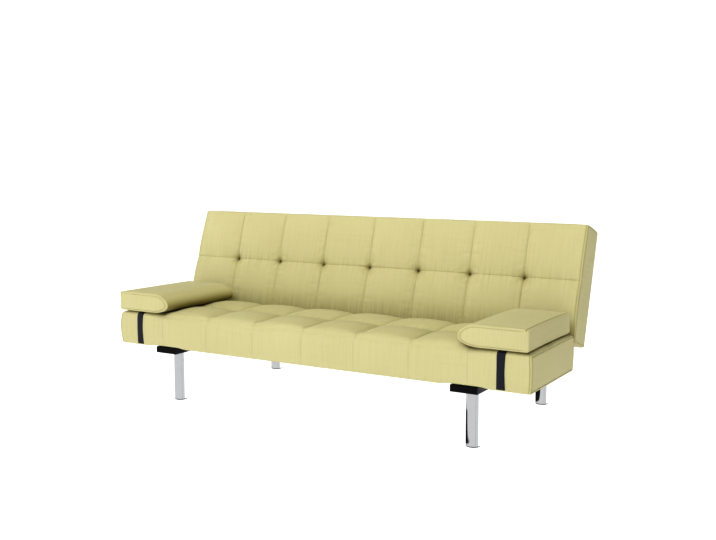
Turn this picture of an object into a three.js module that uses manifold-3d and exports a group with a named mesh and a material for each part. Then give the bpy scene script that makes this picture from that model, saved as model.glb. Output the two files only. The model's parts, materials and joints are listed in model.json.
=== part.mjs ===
// A click clack sofa bed with two strapped arm cushions.
// Millimetres, Z up. The length lies along X and the front faces -Y.
// The seat and the back hang on one bolt line, carried by brackets on two base rails.
import * as THREE from 'three';
import { mergeVertices } from 'three/addons/utils/BufferGeometryUtils.js';
import Module from 'manifold-3d';

const wasm = await Module();
wasm.setup();

// Driving sizes of the whole sofa
const sofaLength = 1800;
const legHeight = 206;
const railThickness = 24;
const seatLift = 3;
const seatThickness = 127;
const seatDepth = 431;
const backHeight = 446;
const backThickness = 123;
const flatGap = 13;
const uprightRecline = THREE.MathUtils.degToRad(17.5);
const reclineSteps = 5;
const quarterTurn = Math.PI / 2;
const toothPitch = (quarterTurn - uprightRecline) / reclineSteps;

// Clearances shared by all pieces
const fitGap = 0.3;
const runningGap = 0.5;
const cutOverrun = 10;

// The bolt line: how far it lies inside the back
const pivotBehindFace = 20;
const pivotAboveEnd = 20.5;

// Levels that follow from the driving sizes
const railTop = legHeight + railThickness;
const seatBottom = railTop + seatLift;
const seatTop = seatBottom + seatThickness;
const pivotY = seatDepth + flatGap + pivotAboveEnd;
const pivotZ = seatTop - pivotBehindFace;

// Materials, one for each finish
function finish(color, roughness, metalness) {
  return new THREE.MeshStandardMaterial({ color, roughness, metalness });
}
const limeFabric = finish(0xcfc983, 0.9, 0);
const buttonFabric = finish(0x8a8444, 0.9, 0);
const blackWebbing = finish(0x1c1d24, 0.8, 0);
const chrome = finish(0xd8dadc, 0.12, 1);
const blackPaint = finish(0x101012, 0.5, 0.3);
const blackLacquer = finish(0x0e0e10, 0.45, 0);
const blackPlastic = finish(0x17171a, 0.6, 0);
const zincSteel = finish(0xa9abad, 0.4, 0.9);
const springSteel = finish(0x6f7072, 0.45, 0.9);
const pineWood = finish(0xcaa877, 0.75, 0);
const rubber = finish(0x202020, 0.9, 0);
const dustCloth = finish(0x2a2a2c, 0.95, 0);

const sofa = new THREE.Group();

function addPiece(parent, name, geometry, material) {
  const piece = new THREE.Mesh(geometry, material);
  piece.name = name;
  parent.add(piece);
  return piece;
}

// Joining and cutting of closed solids
function toSolid(geometry) {
  const plain = geometry.clone();
  plain.deleteAttribute('normal');
  plain.deleteAttribute('uv');
  const merged = mergeVertices(plain);
  const vertProperties = new Float32Array(merged.attributes.position.array);
  const triVerts = new Uint32Array(merged.index.array);
  return new wasm.Manifold(new wasm.Mesh({ numProp: 3, vertProperties, triVerts }));
}

function toGeometry(solid) {
  const mesh = solid.getMesh();
  const geometry = new THREE.BufferGeometry();
  geometry.setAttribute('position', new THREE.BufferAttribute(new Float32Array(mesh.vertProperties), 3));
  geometry.setIndex(new THREE.BufferAttribute(new Uint32Array(mesh.triVerts), 1));
  geometry.computeVertexNormals();
  return geometry;
}

function cut(geometry, ...tools) {
  let solid = toSolid(geometry);
  for (const tool of tools) solid = solid.subtract(toSolid(tool));
  return toGeometry(solid);
}

function join(...geometries) {
  let solid = toSolid(geometries[0]);
  for (const other of geometries.slice(1)) solid = solid.add(toSolid(other));
  return toGeometry(solid);
}

// A block between two corners
function block([x0, x1], [y0, y1], [z0, z1]) {
  const geometry = new THREE.BoxGeometry(x1 - x0, y1 - y0, z1 - z0);
  return geometry.translate((x0 + x1) / 2, (y0 + y1) / 2, (z0 + z1) / 2);
}

// A flat outline in the Y-Z plane, given its thickness along X
const faceAcross = new THREE.Matrix4().makeBasis(
  new THREE.Vector3(0, 1, 0), new THREE.Vector3(0, 0, 1), new THREE.Vector3(1, 0, 0));
function plateAcross(shape, [x0, x1], curveSegments = 3) {
  const geometry = new THREE.ExtrudeGeometry(shape, { depth: x1 - x0, bevelEnabled: false, curveSegments });
  return geometry.applyMatrix4(faceAcross).translate(x0, 0, 0);
}

// A round bar along X
function barAcross(radius, [x0, x1], y, z, facets = 12) {
  const geometry = new THREE.CylinderGeometry(radius, radius, x1 - x0, facets);
  return geometry.rotateZ(quarterTurn).translate((x0 + x1) / 2, y, z);
}

// A link with round ends between two points of the Y-Z plane
function linkAcross(from, to, radius, span) {
  const shape = new THREE.Shape();
  const heading = Math.atan2(to.y - from.y, to.x - from.x);
  shape.absarc(to.x, to.y, radius, heading - quarterTurn, heading + quarterTurn, false);
  shape.absarc(from.x, from.y, radius, heading + quarterTurn, heading + 3 * quarterTurn, false);
  shape.closePath();
  return plateAcross(shape, span);
}

// A point given by its distance and direction from another
function polar(centre, radius, angle) {
  return new THREE.Vector2(centre.x + radius * Math.cos(angle), centre.y + radius * Math.sin(angle));
}

function mirrorSpan([x0, x1], side) {
  return side > 0 ? [x0, x1] : [-x1, -x0];
}
const sides = [['left', -1], ['right', 1]];

// Quilted pad
// A pad is one closed skin: rings of the same section, carried along X, with rounded ends.
const padEdgeRadius = 14;
const padEndBulge = 5;
const padUnderRound = 6;
const quiltColumns = 8;
const columnPitch = sofaLength / quiltColumns;
const seamShares = [0.1, 0.3, 0.5, 0.7, 0.9];

// Height of one pillow between two seams, 0 at a seam and 1 in the middle
const pillowFullness = 2.4;

function pillow(share) {
  const fromMiddle = Math.abs(2 * share - 1);
  return 1 - fromMiddle ** pillowFullness;
}

// How far across its column a place along the length lies, from 0 at one seam to 1 at the next
function columnShare(x) {
  const place = (x + sofaLength / 2) / columnPitch;
  return place - Math.min(Math.floor(place), quiltColumns - 1);
}

// The places along X at which a pad has a ring: its rounded ends, then shares of each column
function padStations(length, edgeRadius, endBulge) {
  const half = length / 2;
  const soften = edgeRadius * (1 - Math.SQRT1_2);
  const stations = [
    { x: -half - endBulge, inset: columnPitch / 3 },
    { x: -half, inset: edgeRadius },
    { x: -half + soften, inset: soften },
    { x: -half + edgeRadius, inset: 0 },
  ];
  for (let column = 0; column < quiltColumns; column += 1) {
    if (column > 0) stations.push({ x: -half + column * columnPitch, inset: 0 });
    for (const share of seamShares) {
      const x = -half + (column + share) * columnPitch;
      if (Math.abs(x) < half - edgeRadius) stations.push({ x, inset: 0 });
    }
  }
  const farEnd = stations.slice(0, 4).reverse().map(({ x, inset }) => ({ x: -x, inset }));
  return stations.concat(farEnd);
}

// The section of a pad in the plane of its depth and thickness, as points with a quilting weight
function padSection(depth, thickness, edgeRadius, rows) {
  const soften = edgeRadius * (1 - Math.SQRT1_2);
  const faceShares = [0.33, 0.66];
  const points = [[padUnderRound, 0], [0, padUnderRound]];
  for (const share of faceShares) points.push([0, thickness * share]);
  points.push([0, thickness - edgeRadius], [soften, thickness - soften], [edgeRadius, thickness]);
  for (const [from, to] of rows) {
    for (const share of seamShares) {
      const place = from + (to - from) * share;
      if (place > edgeRadius && place < depth - edgeRadius) points.push([place, thickness]);
    }
    if (to < depth) points.push([to, thickness]);
  }
  points.push([depth - edgeRadius, thickness], [depth - soften, thickness - soften]);
  points.push([depth, thickness - edgeRadius], [depth, padUnderRound], [depth - padUnderRound, 0]);
  return points;
}

// One closed skin through rings of equal count, closed by a fan at each end.
// The points of a ring run anticlockwise seen from the first ring's end.
function closedSkin(rings) {
  const count = rings[0].length;
  const positions = [];
  const index = [];
  for (const ring of rings) for (const point of ring) positions.push(...point);
  for (let ring = 0; ring + 1 < rings.length; ring += 1) {
    for (let place = 0; place < count; place += 1) {
      const next = (place + 1) % count;
      const a = ring * count + place;
      const b = ring * count + next;
      index.push(a, a + count, b, b, a + count, b + count);
    }
  }
  for (const [ring, outward] of [[0, false], [rings.length - 1, true]]) {
    const centre = new THREE.Vector3();
    for (const point of rings[ring]) centre.add(new THREE.Vector3(...point));
    centre.divideScalar(count);
    const hub = positions.length / 3;
    positions.push(centre.x, centre.y, centre.z);
    for (let place = 0; place < count; place += 1) {
      const a = ring * count + place;
      const b = ring * count + ((place + 1) % count);
      if (outward) index.push(b, a, hub);
      else index.push(a, b, hub);
    }
  }
  const geometry = new THREE.BufferGeometry();
  geometry.setAttribute('position', new THREE.BufferAttribute(new Float32Array(positions), 3));
  geometry.setIndex(index);
  return geometry;
}

// A quilted pad in its own frame: X along, Y across its depth, Z up to the quilted face
function quiltedPad({ depth, thickness, rows, rise, faceBulge }) {
  const section = padSection(depth, thickness, padEdgeRadius, rows);
  const rings = padStations(sofaLength, padEdgeRadius, padEndBulge).map(({ x, inset }) => (
    section.map(([y, z]) => {
      const insetY = Math.min(inset, depth / 3);
      const insetZ = Math.min(inset, thickness / 3);
      const across = y / depth;
      const up = z / thickness;
      const shownY = y + insetY * (1 - 2 * across);
      const shownZ = z + insetZ * (1 - 2 * up);
      const topWeight = z >= thickness - padEdgeRadius / 2 ? 1 : 0;
      const swell = inset > 0 ? 0 : rise(x, y) * topWeight;
      const front = y === 0 && inset === 0 ? faceBulge(x) * Math.sin(Math.PI * up) : 0;
      return [x, shownY - front, shownZ + swell];
    })
  ));
  return closedSkin(rings);
}

// Seat
const seatCrown = 21;
const seatOverallCrown = 6;
const pressedColumnShare = 0.25;
const frontLipShare = 0.3;
const seatFaceBulge = 5;
const faceSeamShare = 0.6;
const seatGroove = seatDepth / 2;

// The outer columns lie flatter, because the arm cushions press on them
function columnLoad(x) {
  return Math.abs(x) > sofaLength / 2 - columnPitch ? pressedColumnShare : 1;
}

function seatRise(x, y) {
  const row = (y % seatGroove) / seatGroove;
  const frontRow = y < seatGroove;
  let rowHeight = pillow(row);
  if (frontRow && row < 0.5) rowHeight = frontLipShare + (1 - frontLipShare) * rowHeight;
  const whole = seatOverallCrown * Math.sin(Math.PI * Math.min(y / seatDepth, 1)) * columnLoad(x);
  return whole + seatCrown * rowHeight * pillow(columnShare(x)) * columnLoad(x);
}

const seat = new THREE.Group();
sofa.add(seat);

// The frame of each pad sits in a pocket on its hidden side
const padWall = 22;
const boardThickness = 22;
const boardWidth = 55;
const pocketHeight = 66;
const dustClothThickness = 1.5;

// Places across the bolt line, from the inner cheek to the outer cheek, for the right hand side
const hingeInset = 239.5;
const hingeCentre = sofaLength / 2 - hingeInset;
const cheekThickness = 4;
const armThickness = 4;
const cheekSpan = 3 * armThickness + 4 * runningGap;
const innerCheek = [hingeCentre - cheekSpan / 2 - cheekThickness, hingeCentre - cheekSpan / 2];
const seatArmSpan = [innerCheek[1] + runningGap, innerCheek[1] + runningGap + armThickness];
const ratchetSpan = [seatArmSpan[1] + runningGap, seatArmSpan[1] + runningGap + armThickness];
const backArmSpan = [ratchetSpan[1] + runningGap, ratchetSpan[1] + runningGap + armThickness];
const outerCheek = [backArmSpan[1] + runningGap, backArmSpan[1] + runningGap + cheekThickness];

// The hinge boards stand beside the arms that are bolted to them
const seatHingeBoard = [seatArmSpan[0] - fitGap - boardThickness, seatArmSpan[0] - fitGap];
const backHingeBoard = [backArmSpan[1] + fitGap, backArmSpan[1] + fitGap + boardThickness];
const armPassGap = 1.5;

const pocketHalf = sofaLength / 2 - padWall;
const seatPocketY = [padWall, seatDepth - padWall];
const dustClothZ = [seatBottom + fitGap, seatBottom + fitGap + dustClothThickness];
const seatBoardZ = [dustClothZ[1] + fitGap, dustClothZ[1] + fitGap + boardWidth];
const armHalfWidth = 12;
const kneeSetForward = 6.5;
const kneeY = pivotY - kneeSetForward;
const kneeDrop = 78.5;
const kneeZ = pivotZ - kneeDrop;
const armPassZ = [kneeZ - armHalfWidth - armPassGap, kneeZ + armHalfWidth + armPassGap];

function seatArmPass(side) {
  const passX = mirrorSpan([seatArmSpan[0] - armPassGap, seatArmSpan[1] + armPassGap], side);
  return block(passX, [seatPocketY[1] - boardThickness - cutOverrun, seatDepth + cutOverrun], armPassZ);
}

function buildSeatPad() {
  const pad = quiltedPad({
    depth: seatDepth,
    thickness: seatThickness,
    rows: [[0, seatGroove], [seatGroove, seatDepth]],
    rise: seatRise,
    faceBulge: (x) => seatFaceBulge * (faceSeamShare + (1 - faceSeamShare) * pillow(columnShare(x))),
  }).translate(0, 0, seatBottom);
  const pocket = block([-pocketHalf, pocketHalf], seatPocketY, [seatBottom - cutOverrun, seatBottom + pocketHeight]);
  return cut(pad, pocket, seatArmPass(1), seatArmPass(-1));
}
addPiece(seat, 'seat_pad', buildSeatPad(), limeFabric);

// A frame of boards in a pocket: two long boards, two end boards and two hinge boards.
// Spans are given as [across depth] and [thickness]; the caller places them.
const boardX = pocketHalf - fitGap;
const endBoardX = [boardX - boardThickness, boardX];

function buildSeatFrame() {
  const frontY = [seatPocketY[0] + fitGap, seatPocketY[0] + fitGap + boardThickness];
  const rearY = [seatPocketY[1] - fitGap - boardThickness, seatPocketY[1] - fitGap];
  const betweenY = [frontY[1] + fitGap, rearY[0] - fitGap];
  addPiece(seat, 'seat_front_board', block([-boardX, boardX], frontY, seatBoardZ), pineWood);
  const rear = block([-boardX, boardX], rearY, seatBoardZ);
  addPiece(seat, 'seat_rear_board', cut(rear, seatArmPass(1), seatArmPass(-1)), pineWood);
  for (const [name, side] of sides) {
    addPiece(seat, `seat_end_board_${name}`, block(mirrorSpan(endBoardX, side), betweenY, seatBoardZ), pineWood);
    addPiece(seat, `seat_hinge_board_${name}`, block(mirrorSpan(seatHingeBoard, side), betweenY, seatBoardZ), pineWood);
  }
  const clothX = [-boardX, boardX];
  const clothY = [seatPocketY[0] + fitGap, seatPocketY[1] - fitGap];
  addPiece(seat, 'seat_dust_cover', block(clothX, clothY, dustClothZ), dustCloth);
}
buildSeatFrame();

// Zigzag springs: one wire each, running across the frame on top of its boards
const wireRadius = 1.9;
const zigzagReach = 24;
const zigzagWaves = 4;
const stepsPerWave = 5;
const innerSpringShares = [0.3, 0.65];
const springPlaces = [...innerSpringShares.map((share) => hingeCentre * share), (hingeCentre + pocketHalf) / 2];
const tieShares = [0.35, 0.65];
const tieHalf = 1.2;

class ZigzagCurve extends THREE.Curve {
  constructor(x, from, to, level) {
    super();
    Object.assign(this, { x, from, to, level });
  }

  getPoint(share, target = new THREE.Vector3()) {
    const swing = zigzagReach * Math.sin(2 * Math.PI * zigzagWaves * share);
    return target.set(this.x + swing, this.from + (this.to - this.from) * share, this.level);
  }
}

function squareSection(radius) {
  const shape = new THREE.Shape();
  shape.moveTo(radius, 0);
  shape.lineTo(0, radius);
  shape.lineTo(-radius, 0);
  shape.lineTo(0, -radius);
  shape.closePath();
  return shape;
}

// The springs of a frame are one unit, because two tie wires link them
function springUnit(from, to, level) {
  const wires = [];
  for (const place of springPlaces) {
    for (const side of [-1, 1]) {
      const path = new ZigzagCurve(side * place, from, to, level);
      const steps = zigzagWaves * stepsPerWave;
      wires.push(new THREE.ExtrudeGeometry(squareSection(wireRadius), { steps, extrudePath: path }));
    }
  }
  const tieEnd = springPlaces[springPlaces.length - 1] + zigzagReach;
  for (const share of tieShares) {
    const y = from + (to - from) * share;
    wires.push(block([-tieEnd, tieEnd], [y - tieHalf, y + tieHalf], [level - tieHalf, level + tieHalf]));
  }
  return join(...wires);
}
const seatSpringEnds = [seatPocketY[0] + fitGap + boardThickness / 2, seatPocketY[1] - fitGap - boardThickness / 2];
const seatSpringZ = seatBoardZ[1] + fitGap + wireRadius;
addPiece(seat, 'seat_spring_unit', springUnit(...seatSpringEnds, seatSpringZ), springSteel);

// Click clack hinge
// A toothed quadrant on the seat arm is caught by a pawl on the back arm.
const pivot = new THREE.Vector2(pivotY, pivotZ);
const boltRadius = 5;
const boltGap = 0.3;
const pivotEye = 13;
const knee = new THREE.Vector2(kneeY, kneeZ);
const seatArmReach = 190;
const seatArmEnd = new THREE.Vector2(kneeY - seatArmReach, kneeZ);
const armBoltRadius = 4;
const armBoltPlaces = [150, 100];

function boltHole(centre, radius, span) {
  const tool = [Math.min(...span) - cutOverrun, Math.max(...span) + cutOverrun];
  return barAcross(radius, tool, centre.x, centre.y);
}

function seatArmBoltCentres() {
  return armBoltPlaces.map((place) => new THREE.Vector2(kneeY - place, kneeZ));
}

// The rivets that hold the quadrant on the seat arm lie on an arc below the bolt
const rivetRadius = 2.5;
const rivetCircle = 19;
const rivetAngles = [THREE.MathUtils.degToRad(-75), THREE.MathUtils.degToRad(-112)];
const rivetCentres = rivetAngles.map((angle) => polar(pivot, rivetCircle, angle));

function buildSeatArm(name, side) {
  const span = mirrorSpan(seatArmSpan, side);
  const body = join(linkAcross(pivot, knee, armHalfWidth, span), linkAcross(knee, seatArmEnd, armHalfWidth, span),
    barAcross(pivotEye, span, pivot.x, pivot.y, 20));
  const holes = [boltHole(pivot, boltRadius + boltGap, span)];
  for (const centre of seatArmBoltCentres()) holes.push(boltHole(centre, armBoltRadius + boltGap, span));
  for (const centre of rivetCentres) holes.push(boltHole(centre, rivetRadius + boltGap, span));
  addPiece(seat, `seat_arm_${name}`, cut(body, ...holes), zincSteel);
}

// Ratchet sizes: the nose of the pawl is one tooth that fits the notches of the quadrant
const toothTip = 32;
const toothRoot = 26.6;
const quadrantHub = 26;
const nosePlay = 0.5;
const noseReach = toothRoot + nosePlay;
const noseHalf = 1.1;
const noseTop = 36;
const noseSlope = Math.tan(THREE.MathUtils.degToRad(30));
const engagedAngle = THREE.MathUtils.degToRad(10);
const lastNotchMargin = THREE.MathUtils.degToRad(2);
const firstNotchMargin = THREE.MathUtils.degToRad(8);
const quadrantTail = THREE.MathUtils.degToRad(-128);
const pawlPivotCircle = 45;
const pawlPivotAngle = THREE.MathUtils.degToRad(-32);
const pawlPivot = polar(pivot, pawlPivotCircle, pawlPivotAngle);
const pawlThrow = THREE.MathUtils.degToRad(11);
const pawlEye = 8;
const pawlPinRadius = 4;
const pawlHead = 5;
const pawlHeadCircle = 39.5;

// The outline of the nose, or of a notch when it is grown by some play, on the ray at this angle
function noseShape(angle, play, top) {
  const out = new THREE.Vector2(Math.cos(angle), Math.sin(angle));
  const along = new THREE.Vector2(-out.y, out.x);
  const base = noseReach - play;
  const corners = [
    [base, -noseHalf - play],
    [top, -noseHalf - play],
    [top, noseHalf + play + (top - base) * noseSlope],
    [base, noseHalf + play],
  ];
  const shape = new THREE.Shape();
  corners.forEach(([radius, shift], place) => {
    const y = pivot.x + out.x * radius + along.x * shift;
    const z = pivot.y + out.y * radius + along.y * shift;
    if (place === 0) shape.moveTo(y, z);
    else shape.lineTo(y, z);
  });
  shape.closePath();
  return shape;
}

// Notches for one lift of the seat, the upright back and each step down to the flat bed
function notchAngles() {
  const angles = [];
  for (let step = -1; step <= reclineSteps; step += 1) angles.push(engagedAngle - step * toothPitch);
  return angles;
}

// A slice of a disc round the pivot
function pivotSector(radius, first, last) {
  const start = polar(pivot, radius, first);
  const shape = new THREE.Shape();
  shape.moveTo(pivot.x, pivot.y);
  shape.lineTo(start.x, start.y);
  shape.absarc(pivot.x, pivot.y, radius, first, last, false);
  shape.closePath();
  return shape;
}

function buildQuadrant(name, side) {
  const span = mirrorSpan(ratchetSpan, side);
  const tool = [span[0] - cutOverrun, span[1] + cutOverrun];
  const first = engagedAngle - reclineSteps * toothPitch - firstNotchMargin;
  const last = engagedAngle + toothPitch + lastNotchMargin;
  const body = join(plateAcross(pivotSector(toothTip, first, last), span, 10),
    plateAcross(pivotSector(quadrantHub, quadrantTail, last), span, 8),
    barAcross(pivotEye, span, pivot.x, pivot.y, 20));
  const notches = notchAngles().map((angle) => plateAcross(noseShape(angle, nosePlay, toothTip + cutOverrun), tool));
  const holes = [boltHole(pivot, boltRadius + boltGap, span)];
  for (const centre of rivetCentres) holes.push(boltHole(centre, rivetRadius + boltGap, span));
  addPiece(seat, `ratchet_quadrant_${name}`, cut(body, ...notches, ...holes), zincSteel);
}

for (const [name, side] of sides) {
  buildSeatArm(name, side);
  buildQuadrant(name, side);
}

// Back
// Its group is upright, with Z up the back and Y from its front face to its rear, and leans at rest.
const back = new THREE.Group();
back.rotation.x = -uprightRecline;
const leanSin = Math.sin(uprightRecline);
const leanCos = Math.cos(uprightRecline);
back.position.set(0,
  pivotY - pivotAboveEnd * leanSin - pivotBehindFace * leanCos,
  pivotZ - pivotAboveEnd * leanCos + pivotBehindFace * leanSin);
sofa.add(back);

// A point of the sofa's frame seen in the back's own frame, for the hinge pieces that lie in it
function inBack(point) {
  const y = point.x - back.position.y;
  const z = point.y - back.position.z;
  return new THREE.Vector2(y * leanCos - z * leanSin, y * leanSin + z * leanCos);
}

const backCrown = 15;
const backSeamShare = 0.508;
const backSeam = backHeight * backSeamShare;
const buttonPit = 7;
const pitSpread = 26;

// Each button pulls the quilting in around it
function pitAt(x, z) {
  const column = Math.round(x / columnPitch);
  if (Math.abs(column) >= quiltColumns / 2) return 0;
  const away = ((x - column * columnPitch) ** 2 + (z - backSeam) ** 2) / pitSpread ** 2;
  return buttonPit * Math.exp(-away);
}

function backRise(x, z) {
  const row = z < backSeam ? z / backSeam : (z - backSeam) / (backHeight - backSeam);
  return backCrown * pillow(Math.min(row, 1)) * pillow(columnShare(x)) - pitAt(x, z);
}

// The buttons sit in round recesses where the seams cross
const buttonRadius = 8;
const buttonThickness = 5;
const buttonSegments = 12;
const buttonSeatShares = [0.8, 0];
const buttonRimShares = [1, 0.4];
const buttonDomeShares = [0.7, 0.85];
const buttonRecess = buttonRadius + runningGap;

const backPocketY = [backThickness - pocketHeight, backThickness];
const backPocketBottom = 74;
const backPocketZ = [backPocketBottom, backHeight - padWall];
const slotSide = 9;
const slotX = [innerCheek[0] - slotSide, outerCheek[1] + slotSide];
const slotSkin = 4;
const slotTop = backPocketZ[0] + cutOverrun;

function buildBackPad() {
  const pad = quiltedPad({
    depth: backHeight,
    thickness: backThickness,
    rows: [[0, backSeam], [backSeam, backHeight]],
    rise: backRise,
    faceBulge: () => 0,
  }).rotateX(quarterTurn).translate(0, backThickness, 0);
  const pocket = block([-pocketHalf, pocketHalf], [backPocketY[0], backThickness + cutOverrun], backPocketZ);
  const slots = sides.map(([, side]) => (
    block(mirrorSpan(slotX, side), [slotSkin, backThickness + cutOverrun], [-cutOverrun, slotTop])));
  const recesses = [];
  for (let column = 1; column < quiltColumns; column += 1) {
    const x = column * columnPitch - sofaLength / 2;
    const recess = new THREE.CylinderGeometry(buttonRecess, buttonRecess, 2 * buttonPit, buttonSegments);
    recesses.push(recess.translate(x, 0, backSeam));
  }
  return cut(pad, pocket, ...slots, ...recesses);
}
addPiece(back, 'back_pad', buildBackPad(), limeFabric);

// The back's boards, its arm passes open to the rear
const rearPanelThickness = 3;
const rearPanelY = [backThickness - fitGap - rearPanelThickness, backThickness - fitGap];
const backBoardY = [rearPanelY[0] - fitGap - boardWidth, rearPanelY[0] - fitGap];
const backArmLine = 96;
const backArmHalf = 14;

function backArmPass(side) {
  const passX = mirrorSpan([backArmSpan[0] - armPassGap, backArmSpan[1] + armPassGap], side);
  const passY = [backArmLine - backArmHalf - armPassGap, backBoardY[1] + cutOverrun];
  return block(passX, passY, [backPocketZ[0] - cutOverrun, backPocketZ[0] + boardThickness + cutOverrun]);
}

function buildBackFrame() {
  const bottomZ = [backPocketZ[0] + fitGap, backPocketZ[0] + fitGap + boardThickness];
  const topZ = [backPocketZ[1] - fitGap - boardThickness, backPocketZ[1] - fitGap];
  const betweenZ = [bottomZ[1] + fitGap, topZ[0] - fitGap];
  const bottom = block([-boardX, boardX], backBoardY, bottomZ);
  addPiece(back, 'back_bottom_board', cut(bottom, backArmPass(1), backArmPass(-1)), pineWood);
  addPiece(back, 'back_top_board', block([-boardX, boardX], backBoardY, topZ), pineWood);
  for (const [name, side] of sides) {
    addPiece(back, `back_end_board_${name}`, block(mirrorSpan(endBoardX, side), backBoardY, betweenZ), pineWood);
    addPiece(back, `back_hinge_board_${name}`, block(mirrorSpan(backHingeBoard, side), backBoardY, betweenZ), pineWood);
  }
  const panelZ = [backPocketZ[0] + cutOverrun + fitGap, backPocketZ[1] - fitGap];
  addPiece(back, 'back_rear_panel', block([-boardX, boardX], rearPanelY, panelZ), limeFabric);
  const from = backPocketZ[0] + fitGap + boardThickness / 2;
  const to = backPocketZ[1] - fitGap - boardThickness / 2;
  const springs = springUnit(from, to, 0).rotateX(quarterTurn);
  addPiece(back, 'back_spring_unit', springs.translate(0, backBoardY[0] - fitGap - wireRadius, 0), springSteel);
}
buildBackFrame();

// Covered buttons, one in each pit
function buttonPoint([outShare, upShare]) {
  return new THREE.Vector2(buttonRadius * outShare, buttonThickness * upShare);
}

function buildButtons() {
  const profile = [
    new THREE.Vector2(0, 0),
    buttonPoint(buttonSeatShares),
    buttonPoint(buttonRimShares),
    buttonPoint(buttonDomeShares),
    new THREE.Vector2(0, buttonThickness),
  ];
  for (let column = 1; column < quiltColumns; column += 1) {
    const x = column * columnPitch - sofaLength / 2;
    const button = new THREE.LatheGeometry(profile, buttonSegments).rotateX(2 * quarterTurn);
    addPiece(back, `tufting_button_${column}`, button.translate(x, buttonPit - fitGap, backSeam), buttonFabric);
  }
}
buildButtons();

// The back arm: an eye on the bolt, a lobe for the pawl pin, a lobe for the spring and a leg up the frame
const springPegCircle = 62;
const springPegAngle = THREE.MathUtils.degToRad(27);
const springPeg = polar(pivot, springPegCircle, springPegAngle);
const springPegRadius = 3;
const armFootUp = 62;
const armLegTop = 205;
const backBoltHeights = [135, 180];

function buildBackArm(name, side) {
  const span = mirrorSpan(backArmSpan, side);
  const eye = inBack(pivot);
  const foot = new THREE.Vector2(backArmLine, armFootUp);
  const legTop = new THREE.Vector2(backArmLine, armLegTop);
  const pin = inBack(pawlPivot);
  const body = join(
    barAcross(pawlPinRadius, mirrorSpan([ratchetSpan[0], backArmSpan[1]], side), pin.x, pin.y),
    barAcross(pivotEye, span, eye.x, eye.y, 20),
    linkAcross(eye, pin, pawlEye, span),
    linkAcross(eye, inBack(springPeg), pawlEye, span),
    linkAcross(eye, foot, pivotEye, span),
    linkAcross(foot, legTop, backArmHalf, span),
  );
  const holes = [boltHole(eye, boltRadius + boltGap, span)];
  holes.push(boltHole(inBack(springPeg), springPegRadius + boltGap, span));
  for (const height of backBoltHeights) {
    holes.push(boltHole(new THREE.Vector2(backArmLine, height), armBoltRadius + boltGap, span));
  }
  addPiece(back, `back_arm_${name}`, cut(body, ...holes), zincSteel);
}

// The leaf spring starts at its peg and presses on the head of the pawl
const leafThickness = 1;

function pawlHeadAt(turned) {
  const engaged = polar(pivot, pawlHeadCircle, engagedAngle);
  return engaged.rotateAround(pawlPivot, turned);
}

function buildPawlSpring(name, side) {
  const peg = inBack(springPeg);
  const head = inBack(pawlHeadAt(-pawlThrow));
  const outwards = head.clone().sub(inBack(pivot)).normalize();
  const tip = head.clone().addScaledVector(outwards, pawlHead + fitGap + leafThickness);
  const leaf = linkAcross(peg, tip, leafThickness, mirrorSpan(ratchetSpan, side));
  const coil = barAcross(springPegRadius + leafThickness, mirrorSpan(ratchetSpan, side), peg.x, peg.y, 12);
  const stub = barAcross(springPegRadius, mirrorSpan([ratchetSpan[0], backArmSpan[1]], side), peg.x, peg.y, 12);
  addPiece(back, `pawl_spring_${name}`, join(leaf, coil, stub), springSteel);
}

for (const [name, side] of sides) {
  buildBackArm(name, side);
  buildPawlSpring(name, side);
}

// Pawls
// A pawl is drawn swung clear of the teeth; its joint turns it into a notch.
const pawls = new THREE.Group();
sofa.add(pawls);

function buildPawl(name, side) {
  const span = mirrorSpan(ratchetSpan, side);
  const head = pawlHeadAt(0);
  const nose = plateAcross(noseShape(engagedAngle, 0, noseTop), span);
  const body = cut(join(linkAcross(pawlPivot, head, pawlHead, span),
    barAcross(pawlEye, span, pawlPivot.x, pawlPivot.y), nose),
  boltHole(pawlPivot, pawlPinRadius + boltGap, span));
  body.translate(0, -pawlPivot.x, -pawlPivot.y).rotateX(-pawlThrow).translate(0, pawlPivot.x, pawlPivot.y);
  addPiece(pawls, `pawl_${name}`, body, zincSteel);
}
for (const [name, side] of sides) buildPawl(name, side);

// Base
const base = new THREE.Group();
sofa.add(base);
const railWidth = 102;
const railLength = 858;
const legInset = 86;
const legRadius = 26;
const legWall = 2;
const legTopThickness = 4;
const legSegments = 24;
const footHeight = 3;
const footRound = 1.5;
const footPlug = 16;
const studRadius = 4;
const studHeight = 14;
const crossTubeSize = 20;
const crossTubeWall = 1.5;
const crossTubeInsets = [140, 200];

const railX = [hingeCentre - railWidth / 2, hingeCentre + railWidth / 2];
const railZ = [legHeight, railTop];
const legPlaces = [['front', legInset], ['rear', railLength - legInset]];

function eachLeg(make) {
  for (const [end, y] of legPlaces) for (const [name, side] of sides) make(`${end}_${name}`, side * hingeCentre, y);
}

// A black lacquered board with a blind hole for the stud of each leg
function buildRail(name, side) {
  const board = block(mirrorSpan(railX, side), [0, railLength], railZ);
  const holeDepth = studHeight + fitGap;
  const holes = legPlaces.map(([, y]) => (
    new THREE.CylinderGeometry(studRadius + boltGap, studRadius + boltGap, 2 * holeDepth)
      .rotateX(quarterTurn).translate(side * hingeCentre, y, railZ[0])));
  addPiece(base, `rail_${name}`, cut(board, ...holes), blackLacquer);
}

function lathe(points, segments) {
  const profile = points.map(([radius, height]) => new THREE.Vector2(radius, height));
  return new THREE.LatheGeometry(profile, segments).rotateX(quarterTurn);
}

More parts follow.
